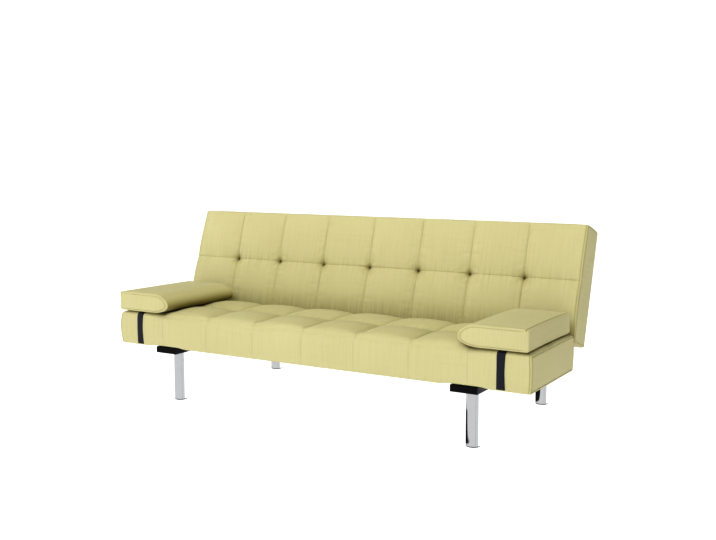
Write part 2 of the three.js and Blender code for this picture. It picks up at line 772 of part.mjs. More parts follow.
function buildLegs() {
  const top = legHeight - fitGap;
  const studTop = top + studHeight;
  const inner = legRadius - legWall;
  const tubeFoot = footHeight + fitGap;
  eachLeg((name, x, y) => {
    const tube = lathe([
      [0, top - legTopThickness], [inner, top - legTopThickness], [inner, tubeFoot], [legRadius, tubeFoot],
      [legRadius, top], [studRadius, top], [studRadius, studTop], [0, studTop],
    ], legSegments);
    addPiece(base, `leg_${name}`, tube.translate(x, y, 0), chrome);
    const plug = inner - fitGap;
    const foot = lathe([
      [0, 0], [legRadius - footRound, 0], [legRadius, footRound], [legRadius, footHeight],
      [plug, footHeight], [plug, footHeight + footPlug], [0, footHeight + footPlug],
    ], legSegments);
    addPiece(base, `foot_${name}`, foot.translate(x, y, 0), blackPlastic);
  });
}

function buildCrossTubes() {
  const half = railX[0] - fitGap;
  const middle = (railZ[0] + railZ[1]) / 2;
  const outZ = [middle - crossTubeSize / 2, middle + crossTubeSize / 2];
  const places = [['front', crossTubeInsets[0]], ['rear', railLength - crossTubeInsets[1]]];
  for (const [end, y] of places) {
    const outY = [y - crossTubeSize / 2, y + crossTubeSize / 2];
    const tube = block([-half, half], outY, outZ);
    const hollow = block([-half - cutOverrun, half + cutOverrun],
      [outY[0] + crossTubeWall, outY[1] - crossTubeWall], [outZ[0] + crossTubeWall, outZ[1] - crossTubeWall]);
    addPiece(base, `cross_tube_${end}`, cut(tube, hollow), blackPaint);
  }
}

// Pivot brackets: a base plate on the rail and two cheeks that carry the pivot pin
const bracketPlate = 3;
const bracketFoot = 48;
const bracketMargin = 9;
const cheekEye = 14;
const pinHeadHeight = 4;
const pinHeadRadius = 9;

function buildBracket(name, side) {
  const plateX = mirrorSpan([innerCheek[0] - bracketMargin, outerCheek[1] + bracketMargin], side);
  const plateY = [pivotY - bracketFoot / 2, pivotY + bracketFoot / 2];
  const plateZ = [railTop + fitGap, railTop + fitGap + bracketPlate];
  const cheek = new THREE.Shape();
  cheek.moveTo(plateY[0], plateZ[0]);
  cheek.lineTo(plateY[1], plateZ[0]);
  cheek.lineTo(pivotY + cheekEye, pivotZ);
  cheek.absarc(pivotY, pivotZ, cheekEye, 0, Math.PI, false);
  cheek.closePath();
  const body = join(block(plateX, plateY, plateZ), plateAcross(cheek, mirrorSpan(innerCheek, side), 5),
    plateAcross(cheek, mirrorSpan(outerCheek, side), 5));
  addPiece(base, `hinge_bracket_${name}`,
    cut(body, boltHole(pivot, boltRadius + boltGap, mirrorSpan([innerCheek[0], outerCheek[1]], side))), blackPaint);
}

// The pivot pin is a rivet, with a head outside each cheek
function buildPivotPin(name, side) {
  const nearHead = [innerCheek[0] - fitGap - pinHeadHeight, innerCheek[0] - fitGap];
  const farHead = [outerCheek[1] + fitGap, outerCheek[1] + fitGap + pinHeadHeight];
  const shank = [nearHead[0] + pinHeadHeight / 2, farHead[1] - pinHeadHeight / 2];
  addPiece(base, `pivot_pin_${name}`, join(
    barAcross(boltRadius, mirrorSpan(shank, side), pivotY, pivotZ),
    barAcross(pinHeadRadius, mirrorSpan(nearHead, side), pivotY, pivotZ),
    barAcross(pinHeadRadius, mirrorSpan(farHead, side), pivotY, pivotZ)), zincSteel);
}

// Rubber pads on the rails: under the seat, and under the back when it lies flat
const padInset = 40;
const padLength = 60;
const padWide = 60;

function buildRubberPads(name, side) {
  const flatBackUnder = pivotZ + pivotBehindFace - backThickness;
  const seatPadZ = [railTop + fitGap, seatBottom - fitGap];
  const bedPadZ = [railTop + fitGap, flatBackUnder - fitGap];
  const padX = mirrorSpan([hingeCentre - padWide / 2, hingeCentre + padWide / 2], side);
  addPiece(base, `seat_rest_pad_${name}`, block(padX, [padInset, padInset + padLength], seatPadZ), rubber);
  const bedPadY = [railLength - padInset - padLength, railLength - padInset];
  addPiece(base, `bed_rest_pad_${name}`, block(padX, bedPadY, bedPadZ), rubber);
}

for (const [name, side] of sides) {
  buildRail(name, side);
  buildBracket(name, side);
  buildPivotPin(name, side);
  buildRubberPads(name, side);
}
buildLegs();
buildCrossTubes();

// Arm cushions
// Each is a D shaped bolster: flat outer side, round inner nose, with a strap that goes round the seat.
const armCushionWidth = 250;
const armCushionThickness = 76;
const armCushionSetIn = 19;
const armCushionLength = seatDepth - armCushionSetIn;
const armCushionOverhang = 8;
const armCushionEndInset = 6;
const armCushionCrown = 6;
const armCushionDrawIn = 4;
const armEdgeRadius = 9;
const armEndDome = 5;
const noseLowerReach = 30;
const noseUpperReach = 62;
const noseHeightShare = 0.42;
const strapWidth = 32;
const strapThickness = 2;
const strapInset = 105;
const strapCorner = 8;

// The strap lies on the highest line of the seat below it
const strapMiddle = sofaLength / 2 - strapInset;
const riseShares = [0.15, 0.2, 0.25, 0.3, 0.35, 0.65, 0.7, 0.75, 0.8, 0.85];
const pressedTop = seatTop + Math.max(...riseShares.map((share) => seatRise(strapMiddle, seatDepth * share)));
const strapTop = pressedTop + fitGap + strapThickness;
const armCushionBottom = strapTop + fitGap;
const armCushionOuter = sofaLength / 2 - armCushionEndInset;

// The outline across the cushion: X from the nose to the outer side, Z from bottom to top
function armOutline() {
  const noseZ = armCushionThickness * noseHeightShare;
  const right = armCushionWidth;
  const top = armCushionThickness;
  const shape = new THREE.Shape();
  shape.moveTo(noseLowerReach, 0);
  shape.lineTo(right - armEdgeRadius, 0);
  shape.absarc(right - armEdgeRadius, armEdgeRadius, armEdgeRadius, -quarterTurn, 0, false);
  shape.lineTo(right, top - armEdgeRadius);
  shape.absarc(right - armEdgeRadius, top - armEdgeRadius, armEdgeRadius, 0, quarterTurn, false);
  shape.lineTo((right + noseUpperReach) / 2, top);
  shape.lineTo(noseUpperReach, top);
  shape.absellipse(noseUpperReach, noseZ, noseUpperReach, top - noseZ, quarterTurn, 2 * quarterTurn, false);
  shape.absellipse(noseLowerReach, noseZ, noseLowerReach, noseZ, 2 * quarterTurn, 3 * quarterTurn, false);
  shape.closePath();
  const points = shape.getPoints(4);
  const kept = points.filter((point, place) => place === 0 || point.distanceTo(points[place - 1]) > fitGap);
  if (kept[0].distanceTo(kept[kept.length - 1]) < fitGap) kept.pop();
  return kept;
}

function buildArmCushion(name, side) {
  const outline = armOutline();
  const middleX = armCushionWidth / 2;
  const middleZ = armCushionThickness / 2;
  const soften = armEdgeRadius * (1 - Math.SQRT1_2);
  const stations = [[-armEndDome, middleZ / 2], [0, armEdgeRadius], [soften, soften], [armEdgeRadius, 0]];
  const bodyShares = [0.2, 0.4, 0.6, 0.8];
  const ends = stations.map(([y, inset]) => [armCushionLength - y, inset]).reverse();
  const body = bodyShares.map((share) => [armCushionLength * share, 0]);
  const rings = [...stations, ...body, ...ends].map(([y, inset]) => {
    const along = Math.sin(Math.PI * Math.min(Math.max(y / armCushionLength, 0), 1));
    return outline.map((point) => {
      const shownX = middleX + (point.x - middleX) * (1 - inset / middleX);
      const shownZ = middleZ + (point.y - middleZ) * (1 - inset / middleZ);
      const topShare = Math.max(0, point.y / armCushionThickness * 2 - 1);
      const crown = armCushionCrown * along * topShare * Math.sin(Math.PI * Math.min(point.x / armCushionWidth, 1));
      const drawIn = armCushionDrawIn * along * Math.max(0, point.x / armCushionWidth * 2 - 1) ** 4;
      return [shownX - drawIn - armCushionWidth, y, shownZ + crown];
    });
  });
  const skin = closedSkin(rings);
  let geometry = skin;
  if (side < 0) geometry = mirrored(skin);
  geometry.translate(side * armCushionOuter, -armCushionOverhang, armCushionBottom);
  addPiece(sofa, `arm_cushion_${name}`, geometry, limeFabric);
}

// A mirror image across the Y-Z plane, with its faces turned back outwards
function mirrored(geometry) {
  const copy = geometry.clone().scale(-1, 1, 1);
  const index = copy.index.array;
  for (let face = 0; face < index.length; face += 3) {
    const first = index[face];
    index[face] = index[face + 1];
    index[face + 1] = first;
  }
  return copy;
}

function roundedLoop([y0, y1], [z0, z1], radius) {
  const shape = new THREE.Shape();
  shape.absarc(y1 - radius, z0 + radius, radius, -quarterTurn, 0, false);
  shape.absarc(y1 - radius, z1 - radius, radius, 0, quarterTurn, false);
  shape.absarc(y0 + radius, z1 - radius, radius, quarterTurn, 2 * quarterTurn, false);
  shape.absarc(y0 + radius, z0 + radius, radius, 2 * quarterTurn, 3 * quarterTurn, false);
  shape.closePath();
  return shape;
}

function buildStrap(name, side) {
  const innerY = [-seatFaceBulge - fitGap, seatDepth + fitGap];
  const innerZ = [seatBottom - fitGap, pressedTop + fitGap];
  const outerY = [innerY[0] - strapThickness, innerY[1] + strapThickness];
  const outerZ = [innerZ[0] - strapThickness, innerZ[1] + strapThickness];
  const strapX = [strapMiddle - strapWidth / 2, strapMiddle + strapWidth / 2];
  const shape = roundedLoop(outerY, outerZ, strapCorner);
  shape.holes.push(roundedLoop(innerY, innerZ, strapCorner - strapThickness));
  addPiece(sofa, `arm_strap_${name}`, plateAcross(shape, mirrorSpan(strapX, side), 2), blackWebbing);
}

for (const [name, side] of sides) {
  buildArmCushion(name, side);
  buildStrap(name, side);
}

// The origin is on the floor under the middle of the sofa's footprint
sofa.updateMatrixWorld(true);
const outline = new THREE.Box3().setFromObject(sofa, true);
sofa.position.y = -(outline.min.y + outline.max.y) / 2;
sofa.updateMatrixWorld(true);

export default sofa;
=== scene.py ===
# %% [markdown]
# # Dressing a click clack sofa bed
#
# The sofa's solids come ready made: rails, tube legs, boards, springs and a ratchet hinge, each in its
# place. This lesson gives them their looks. It builds the quilted seat and back, the arm cushions and
# their straps as fabric, adds small fasteners, gives every piece a finish, and sets light and camera.
# All lengths are metres. +X is to the viewer's right, +Y goes from the seat's front to the back, +Z up.

# %% Load the solids
import json
import math

import bpy
import numpy as np
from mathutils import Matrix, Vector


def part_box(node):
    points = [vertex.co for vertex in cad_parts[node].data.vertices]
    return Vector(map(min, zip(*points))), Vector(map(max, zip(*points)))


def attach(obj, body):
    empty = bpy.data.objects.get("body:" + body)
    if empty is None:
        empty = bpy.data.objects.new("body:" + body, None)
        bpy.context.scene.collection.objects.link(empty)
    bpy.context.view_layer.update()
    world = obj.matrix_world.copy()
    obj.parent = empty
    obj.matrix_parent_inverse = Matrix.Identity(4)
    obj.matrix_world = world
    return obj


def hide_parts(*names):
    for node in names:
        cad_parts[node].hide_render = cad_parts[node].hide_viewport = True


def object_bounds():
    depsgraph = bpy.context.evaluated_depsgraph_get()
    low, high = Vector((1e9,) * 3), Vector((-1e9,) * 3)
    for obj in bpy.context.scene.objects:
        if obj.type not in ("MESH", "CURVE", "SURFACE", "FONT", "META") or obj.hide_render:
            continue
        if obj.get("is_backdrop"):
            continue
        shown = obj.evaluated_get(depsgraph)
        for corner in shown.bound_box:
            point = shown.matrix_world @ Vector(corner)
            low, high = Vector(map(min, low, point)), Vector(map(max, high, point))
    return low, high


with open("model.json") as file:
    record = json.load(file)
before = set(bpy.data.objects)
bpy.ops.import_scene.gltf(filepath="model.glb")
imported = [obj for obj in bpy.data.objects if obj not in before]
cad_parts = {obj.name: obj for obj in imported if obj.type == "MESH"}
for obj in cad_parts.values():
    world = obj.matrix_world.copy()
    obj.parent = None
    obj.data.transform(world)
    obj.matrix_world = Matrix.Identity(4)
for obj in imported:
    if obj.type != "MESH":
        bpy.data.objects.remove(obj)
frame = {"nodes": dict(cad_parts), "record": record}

CAD_LOW, CAD_HIGH = (list(corner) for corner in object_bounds())
MM = 0.001

# %% [markdown]
# ## Camera and light
#
# The camera's place was worked out from the edges of the seat, back, rails and legs, so the sofa falls
# on nearly the same pixels as in the photograph. The light there is very soft and comes mostly from the
# front: front faces are the brightest, tops a little darker, the end panel darker still. A large panel
# high in front, one to the left and a weaker yellow one above give that, together with a pale floor that
# throws light back up.

# %% Camera
FOCAL_LENGTH = 49.4775
SENSOR_WIDTH = 36
CAMERA_PLACE = (2.01377, -3.41326, 1.00963)
CAMERA_TILT, CAMERA_TURN = 83.301, 30.593

scene = bpy.context.scene
lens = bpy.data.cameras.new("photo_camera")
lens.lens = FOCAL_LENGTH
lens.sensor_width = SENSOR_WIDTH
camera = bpy.data.objects.new("photo_camera", lens)
camera.location = CAMERA_PLACE
camera.rotation_euler = (math.radians(CAMERA_TILT), 0, math.radians(CAMERA_TURN))
scene.collection.objects.link(camera)
scene.camera = camera
scene.view_settings.view_transform = "Standard"
scene.view_settings.look = "High Contrast"
print("camera height:", round(camera.location.z, 3))


# %% Lights
SOFA_MIDDLE = (0, 0, 0.4)

# Each panel has a name, a place, a width and height, a power in watts and a colour
PANELS = (
    ("top_panel", (0.4, -0.6, 3.6), (4.0, 3.0), 28, (1.0, 0.98, 0.66)),
    ("front_panel", (0.5, -3.0, 3.2), (4.0, 2.0), 77, (0.99, 1.0, 1.08)),
    ("left_panel", (-4.2, -1.2, 1.6), (3.0, 2.4), 38, (1, 1, 1)),
)


def soft_panel(name, place, size, power, colour):
    """A rectangular light at place that faces the sofa's middle."""
    light = bpy.data.lights.new(name, "AREA")
    light.color = colour
    light.shape = "RECTANGLE"
    light.size, light.size_y = size
    light.energy = power
    panel = bpy.data.objects.new(name, light)
    aim = np.subtract(SOFA_MIDDLE, place)
    turn = math.atan2(-aim[0], aim[1])
    tilt = math.atan2(aim[2], math.hypot(aim[0], aim[1]))
    panel.location = place
    panel.rotation_euler = (math.pi / 2 + tilt, 0, turn)
    scene.collection.objects.link(panel)


for panel in PANELS:
    soft_panel(*panel)
print("lights:", len(PANELS))

# %% [markdown]
# ## Writing finishes as sums
#
# A finish is a small graph of shader nodes. Building it link by link is slow to read, so one class wraps
# a node's output and turns Python's operators into Math nodes, and another makes any other node from its
# type, its settings and what goes into its sockets. The finishes below then read like formulas.

# %% Shader helpers
class Wire:
    """A value that leaves a shader node. Sums and products of it add Math nodes."""

    def __init__(self, finish, socket):
        self.finish = finish
        self.socket = socket

    def math(self, operation, *values):
        return self.finish.node("ShaderNodeMath", {"operation": operation}, dict(enumerate(values)))

    def __add__(self, other):
        return self.math("ADD", self, other)

    def __sub__(self, other):
        return self.math("SUBTRACT", self, other)

    def __rsub__(self, other):
        return self.math("SUBTRACT", other, self)

    def __mul__(self, other):
        return self.math("MULTIPLY", self, other)

    __radd__ = __add__
    __rmul__ = __mul__

    def sine(self):
        return self.math("SINE", self)

    def size(self):
        return self.math("ABSOLUTE", self)

    def clipped(self, low, high):
        """0 where the value is under low, 1 over high, and straight in between."""
        return self.finish.node("ShaderNodeMapRange", {"clamp": True},
                                {"Value": self, "From Min": low, "From Max": high})


class Finish:
    """A material under construction, or the world, which is built from nodes as well."""

    def __init__(self, name, kind="materials"):
        self.material = getattr(bpy.data, kind).new(name)
        self.material.use_nodes = True
        self.tree = self.material.node_tree
        self.tree.nodes.clear()

    def node(self, kind, settings=None, sockets=None, out=0):
        """Adds a node: its settings first, then a value or a wire for each named socket."""
        made = self.tree.nodes.new(kind)
        for key, value in (settings or {}).items():
            setattr(made, key, value)
        for key, value in (sockets or {}).items():
            if isinstance(value, Wire):
                self.tree.links.new(value.socket, made.inputs[key])
            else:
                made.inputs[key].default_value = value
        return Wire(self, made.outputs[out]) if made.outputs else None

    def place(self, source, scale):
        """Coordinates in metres, from the piece's UV map or its own space, times a scale for each axis."""
        plain = self.node("ShaderNodeTexCoord", out=source)
        return self.node("ShaderNodeMapping", None, {"Vector": plain, "Scale": scale})

    def parts(self, source, scale, *axes):
        """Single coordinates by their numbers: 0 is X or U, 1 is Y or V and 2 is Z."""
        where = self.place(source, scale)
        return [self.node("ShaderNodeSeparateXYZ", None, {0: where}, out=axis) for axis in axes]

    def noise(self, source, scale, detail=2.0, roughness=0.5):
        where = self.place(source, scale)
        return self.node("ShaderNodeTexNoise", None,
                         {"Vector": where, "Scale": 1.0, "Detail": detail, "Roughness": roughness})

    def mix(self, factor, first, second):
        """Blends two colours by a factor from 0 to 1."""
        return self.node("ShaderNodeMix", {"data_type": "RGBA"}, {0: factor, 6: first, 7: second}, out=2)

    def bump(self, height, depth, strength=1.0):
        return self.node("ShaderNodeBump", None, {"Height": height, "Distance": depth, "Strength": strength})

    def shader(self, **sockets):
        """The surface shader. Underscores in the names of its sockets stand for spaces."""
        named = {key.replace("_", " "): value for key, value in sockets.items()}
        return self.node("ShaderNodeBsdfPrincipled", None, named)

    def ends_with(self, shader, output="ShaderNodeOutputMaterial"):
        self.node(output, None, {"Surface": shader})
        return self.material

    def surface(self, **sockets):
        return self.ends_with(self.shader(**sockets))


def tone(red, green, blue):
    """An opaque colour."""
    return (red, green, blue, 1.0)


# %% [markdown]
# ## The lime linen
#
# The cover is a plain weave in yellow green. From a step away it shows fine upright streaks, where
# thicker yarns run up the cloth, and fainter ones across; near the seams the streaks grow stronger,
# because the cloth is drawn together there, and the light and dark of these gathers is painted into the
# colour as painted shade and highlight, besides their relief in the bump. The weave follows each piece's
# UV map, which is in metres.
# One point attribute says how near a seam is, which sets the gathers and their painted streaks. Another is
# painted shade: it mixes a darker, richer tone into the colour in the hollows, where shade falls and light
# bounced from cloth to cloth would darken it.

# %% Linen
YARN = 0.0011
TURN = 2 * math.pi

# Spots of noise in a metre across the yarns, along them and in depth
STREAKS, CROSS_STREAKS = (620, 7, 1), (6, 560, 1)
SLUBS, CROSS_SLUBS = (190, 5, 1), (4, 210, 1)
GATHERS = (88, 3.0, 1)
CLOUDS = (3.1, 3.1, 3.1)


def linen_finish(name, light, dark, painted_shade_tone):
    """A plain weave: two sets of yarns a yarn's width apart, with slubs, streaks and cloudy tone, and
    painted shade mixed in from a point attribute.
    """
    finish = Finish(name)
    pull_and_fold_shade = finish.node("ShaderNodeAttribute", {"attribute_name": "pull_and_fold_shade"}, out="Fac")
    # Painted shade: how far the colour goes towards the darker painted shade tone
    painted_shade = finish.node("ShaderNodeAttribute", {"attribute_name": "painted_shade"}, out="Fac")
    warp = finish.noise("UV", STREAKS, 3.0, 0.6)
    weft = finish.noise("UV", CROSS_STREAKS, 3.0, 0.6)
    slub = finish.noise("UV", SLUBS).clipped(0.5, 0.8)
    cross_slub = finish.noise("UV", CROSS_SLUBS).clipped(0.56, 0.85)
    gather = finish.noise("UV", GATHERS, 1.0).clipped(0.30, 0.70)
    cloud = finish.noise("Object", CLOUDS)
    across, along = finish.parts("UV", (TURN / YARN, TURN / YARN, 1), 0, 1)
    weave = across.sine() * along.sine()
    # Yarn tone, and near the seams painted shade and highlight of the gathers, which darken and streak the
    # colour
    shade = warp * 0.42 + weft * 0.22 + cloud * 0.28 + slub * (0.12 + pull_and_fold_shade * 0.25) + cross_slub * 0.1
    shade = shade + (gather - 0.5) * pull_and_fold_shade * 0.75
    body = finish.mix((shade - 0.22).clipped(0.0, 0.62), light, dark)
    yarns = weave * 0.5 + warp * 0.9 + weft * 0.6 + slub * (0.5 + pull_and_fold_shade * 1.5) - gather * pull_and_fold_shade * 6.5
    return finish.surface(
        # The colour is darkened towards a painted shade tone wherever shade is painted in
        Base_Color=finish.mix(painted_shade, body, painted_shade_tone),
        Roughness=0.76 + weave * 0.04,
        Specular_IOR_Level=0.3,
        Sheen_Weight=0.2,
        Sheen_Roughness=0.4,
        Normal=finish.bump(yarns, 0.00035, 0.6),
    )


# The third tone is painted shade, for the hollows where shade falls
LINEN = linen_finish("lime_linen", light=tone(0.61, 0.568, 0.318), dark=tone(0.475, 0.437, 0.212),
                     painted_shade_tone=tone(0.225, 0.19, 0.045))
# The buttons' cover is the same lime linen, painted much darker: painted shade of their pits
SHADED_BUTTON_LINEN = linen_finish("button_linen_painted_shade", light=tone(0.11, 0.098, 0.036), dark=tone(0.07, 0.06, 0.02),
                            painted_shade_tone=tone(0.05, 0.045, 0.015))
print("yarns in a metre:", round(1 / YARN))


# %% [markdown]
# ## Webbing, metal, wood and the rest
#
# The straps are ribbed black webbing with a blue cast. The legs are chromed, the rails lacquered black,
# the hinge zinc plated, the boards pine, and the underside is closed with black felted cloth. Each has
# its own grain at its own scale, so that nothing shows one flat colour when a piece is seen close by.

# %% Webbing and felted cloth
RIB, TWILL = 0.0021, 0.0016


def webbing_finish():
    """Ribs across the strap, and two sets of fine yarns."""
    finish = Finish("black_webbing")
    across, along = finish.parts("UV", (TURN / RIB, TURN / TWILL, 1), 0, 1)
    rib = along.sine() * 0.5 + 0.5
    twill = (across + along).sine() * 0.5 + 0.5
    wear = finish.noise("UV", (60, 9, 1), 3.0)
    worn = (rib * 0.5 + wear * 0.6).clipped(0.2, 0.9)
    body = finish.mix(worn, tone(0.006, 0.006, 0.010), tone(0.020, 0.021, 0.032))
    return finish.surface(
        Base_Color=body,
        Roughness=0.62 + twill * 0.12,
        Specular_IOR_Level=0.3,
        Sheen_Weight=0.06,
        Normal=finish.bump(rib * 0.7 + twill * 0.5, 0.0004, 0.8),
    )


def felt_finish():
    """Pressed fibres: short random streaks both ways and a dotted bond."""
    finish = Finish("black_felt")
    fibres = finish.noise("Object", (900, 240, 900), 4.0, 0.7)
    crossed = finish.noise("Object", (210, 980, 400), 4.0, 0.7)
    dots = finish.node("ShaderNodeTexVoronoi", None,
                       {"Vector": finish.place("Object", (420, 420, 420)), "Scale": 1.0})
    blend = (fibres * 0.5 + crossed * 0.5).clipped(0.3, 0.7)
    return finish.surface(
        Base_Color=finish.mix(blend, tone(0.012, 0.012, 0.013), tone(0.04, 0.04, 0.043)),
        Roughness=0.88 + dots * 0.08,
        Specular_IOR_Level=0.2,
        Normal=finish.bump(fibres + crossed + dots * 0.6, 0.0005, 0.6),
    )


WEBBING = webbing_finish()
FELT = felt_finish()


# %% Metals
def metal_finish(name, light, dark, grain, rough, depth):
    """Metal with cloudy tone, fine lines along one axis and a little smudging."""
    finish = Finish(name)
    lines = finish.noise("Object", grain, 3.0, 0.6)
    smudge = finish.noise("Object", (14, 14, 14), 4.0, 0.6)
    low, high = rough
    return finish.surface(
        Base_Color=finish.mix((lines * 0.5 + smudge * 0.6).clipped(0.25, 0.85), light, dark),
        Metallic=1.0,
        Roughness=low + (lines * 0.4 + smudge * 0.6).clipped(0.3, 0.75) * (high - low),
        Normal=finish.bump(lines, depth, 0.35),
    )


CHROME = metal_finish("bright_chrome", light=tone(0.60, 0.60, 0.61), dark=tone(0.54, 0.545, 0.55),
                      grain=(60, 60, 700), rough=(0.03, 0.07), depth=0.00001)
ZINC = metal_finish("zinc_plate", light=tone(0.62, 0.63, 0.62), dark=tone(0.46, 0.46, 0.44),
                    grain=(240, 240, 240), rough=(0.30, 0.48), depth=0.00005)
SPRING = metal_finish("spring_wire", light=tone(0.30, 0.30, 0.31), dark=tone(0.15, 0.15, 0.15),
                      grain=(500, 60, 60), rough=(0.32, 0.50), depth=0.00005)


# %% Lacquer, powder paint, moulded plastic and rubber
def coated_finish(name, light, dark, scale, rough, depth, shine=0.45):
    """A coat with a fine even texture, slightly uneven gloss and dust in the tone."""
    finish = Finish(name)
    grain = finish.noise("Object", (scale, scale, scale), 2.0)
    patch = finish.noise("Object", (11, 11, 11), 3.0, 0.6)
    low, high = rough
    return finish.surface(
        Base_Color=finish.mix((grain * 0.3 + patch * 0.7).clipped(0.3, 0.8), light, dark),
        Roughness=low + patch.clipped(0.3, 0.7) * (high - low),
        Specular_IOR_Level=shine,
        Normal=finish.bump(grain, depth, 0.5),
    )


LACQUER = coated_finish("black_lacquer", light=tone(0.006, 0.006, 0.007), dark=tone(0.003, 0.003, 0.004),
                        scale=160, rough=(0.40, 0.52), depth=0.00006, shine=0.12)
POWDER = coated_finish("powder_paint", light=tone(0.016, 0.016, 0.018), dark=tone(0.008, 0.008, 0.009),
                       scale=900, rough=(0.42, 0.58), depth=0.00012)
PLASTIC = coated_finish("foot_plastic", light=tone(0.022, 0.022, 0.024), dark=tone(0.014, 0.014, 0.015),
                        scale=1400, rough=(0.5, 0.62), depth=0.00008)
RUBBER = coated_finish("black_rubber", light=tone(0.030, 0.030, 0.030), dark=tone(0.018, 0.018, 0.018),
                       scale=700, rough=(0.78, 0.9), depth=0.0001)


# %% Pine
RINGS = 520


def pine_finish():
    """Growth rings seen along the board: bands across Z bent by slow noise, with fine pores."""
    finish = Finish("pine_board")
    bend = finish.noise("Object", (1.3, 9, 9), 3.0)
    pores = finish.noise("Object", (26, 900, 900), 3.0, 0.7)
    height = finish.parts("Object", (1, 1, RINGS), 2)[0]
    rings = (height + bend * 34).sine() * 0.5 + 0.5
    late = (rings * 0.7 + pores * 0.4).clipped(0.2, 1.0)
    colour = finish.mix(late, tone(0.66, 0.46, 0.25), tone(0.47, 0.28, 0.12))
    return finish.surface(
        Base_Color=colour,
        Roughness=0.62 + pores * 0.16,
        Specular_IOR_Level=0.35,
        Normal=finish.bump(pores + rings * 0.3, 0.00025, 0.5),
    )


PINE = pine_finish()

# %% Give every solid its finish
FINISHES = {
    "lime_fabric": LINEN, "button_fabric": SHADED_BUTTON_LINEN, "black_webbing": WEBBING, "chrome": CHROME,
    "black_plastic": PLASTIC, "black_lacquer": LACQUER, "black_paint": POWDER, "zinc_steel": ZINC,
    "spring_steel": SPRING, "pine": PINE, "rubber": RUBBER, "dust_cloth": FELT,
}
for subpart in frame["record"]["subparts"]:
    solid = frame["nodes"][subpart["node"]]
    for place in solid.material_slots:
        place.material = FINISHES[subpart["material_slot"]]
print("finishes:", len(FINISHES))


# %% [markdown]
# ## Floor and surroundings
#
# The photograph's ground is so pale that it has no edge. A wide matt plane stands in for it: it glows a
# little, which lights the sofa from below and in front, and the camera sees it mostly as an even white.
# The chromed legs mirror more than that. The right legs see a painted shadow close beside them: a dark
# strip of floor, shown only to mirrors, where the sofa would shade it. All legs see the pale world round
# the floor as a grey room with one bright window to the right, which gives them a pale grey front and a
# white flank.

# %% Floor
STRIP_MIDDLE = (0.385, 0.165)
STRIP_HALF = (0.235, 0.585)
STRIP_BLUR = (0.015, 0.03)
STRIP_REACH = 0.8
STRIP_REACH_BLUR = 0.05
STRIP_GLOW = 0.02
PURE_WHITE = tone(1, 1, 1)


def painted_shadow_strip(finish):
    """The painted shadow's mask: 1 for a mirrored ray that meets the strip of floor and is shorter than its
    reach, otherwise 0.
    """
    x, y = finish.parts("Object", (1, 1, 1), 0, 1)
    inside = [(half - (place - middle).size()).clipped(-blur, blur)
              for place, middle, half, blur in zip((x, y), STRIP_MIDDLE, STRIP_HALF, STRIP_BLUR)]
    close = STRIP_REACH - finish.node("ShaderNodeLightPath", out="Ray Length")
    return inside[0] * inside[1] * close.clipped(-STRIP_REACH_BLUR, STRIP_REACH_BLUR)


def make_floor(reach, whiteness, glow_strength):
    """One large square under the sofa, which mirrors look through, apart from the strip of painted shadow.

    Whiteness is the share of even white that the camera sees.
    """
    corners = [(-reach, -reach, 0), (reach, -reach, 0), (reach, reach, 0), (-reach, reach, 0)]
    mesh = bpy.data.meshes.new("floor")
    mesh.from_pydata(corners, [], [(0, 1, 2, 3)])
    floor = bpy.data.objects.new("floor", mesh)
    scene.collection.objects.link(floor)
    finish = Finish("pale_floor")
    grain = finish.noise("Object", (60, 60, 60))
    matt = finish.shader(Base_Color=finish.mix(grain, tone(0.83, 0.83, 0.825), tone(0.79, 0.79, 0.785)),
                         Roughness=0.9, Specular_IOR_Level=0.1, Emission_Color=PURE_WHITE,
                         Emission_Strength=glow_strength)
    white = finish.node("ShaderNodeEmission", None, {"Color": PURE_WHITE, "Strength": 1.0})
    seen = finish.node("ShaderNodeLightPath", out="Is Camera Ray") * whiteness
    plain = finish.node("ShaderNodeMixShader", None, {0: seen, 1: matt, 2: white})
    clear = finish.node("ShaderNodeBsdfTransparent")
    # The painted shadow: a nearly black glow that mirrors see on the strip
    dark = finish.node("ShaderNodeEmission", None, {"Color": PURE_WHITE, "Strength": STRIP_GLOW})
    mirrored = finish.node("ShaderNodeMixShader", None, {0: painted_shadow_strip(finish), 1: clear, 2: dark})
    by_mirror = finish.node("ShaderNodeLightPath", out="Is Glossy Ray")
    whole = finish.node("ShaderNodeMixShader", None, {0: by_mirror, 1: plain, 2: mirrored})
    mesh.materials.append(finish.ends_with(whole))
    floor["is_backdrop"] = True


make_floor(reach=40, whiteness=0.6, glow_strength=0.48)


# %% World
WINDOW_WAY = (0.635, 0.773, 0.0)
LINE_WAY = (0.490, 0.871, 0.0)
LINE_SHADE = 0.28


def make_world(strength, wall, window):
    """A pale world: white to the camera, dim as a light, and a grey room with a window to mirrors.

    The dot product of a direction with a level vector is the cosine of the angle between them. The
    window reaches 34 degrees to either side of its middle, which is 110 degrees round from the camera
    to the viewer's right. A faint line on the wall is where another dot product is 0, 30 degrees round
    to the right and just opposite.
    """
    world = Finish("pale_studio", "worlds")
    direction = world.node("ShaderNodeTexCoord", out="Generated")
    toward, line = (world.node("ShaderNodeVectorMath", {"operation": "DOT_PRODUCT"}, {0: direction, 1: way},
                               out="Value") for way in (WINDOW_WAY, LINE_WAY))
    away = line.size().clipped(0.02, 0.08)
    mirrored = wall * (1 - LINE_SHADE + away * LINE_SHADE) + toward.clipped(0.80, 0.86) * (window - wall)
    rays = [world.node("ShaderNodeLightPath", out=kind) for kind in ("Is Camera Ray", "Is Glossy Ray")]
    level = rays[0] + rays[1] * mirrored + (1 - rays[0]) * (1 - rays[1]) * strength
    light = world.node("ShaderNodeBackground", None, {"Color": PURE_WHITE, "Strength": level})
    return world.ends_with(light, "ShaderNodeOutputWorld")


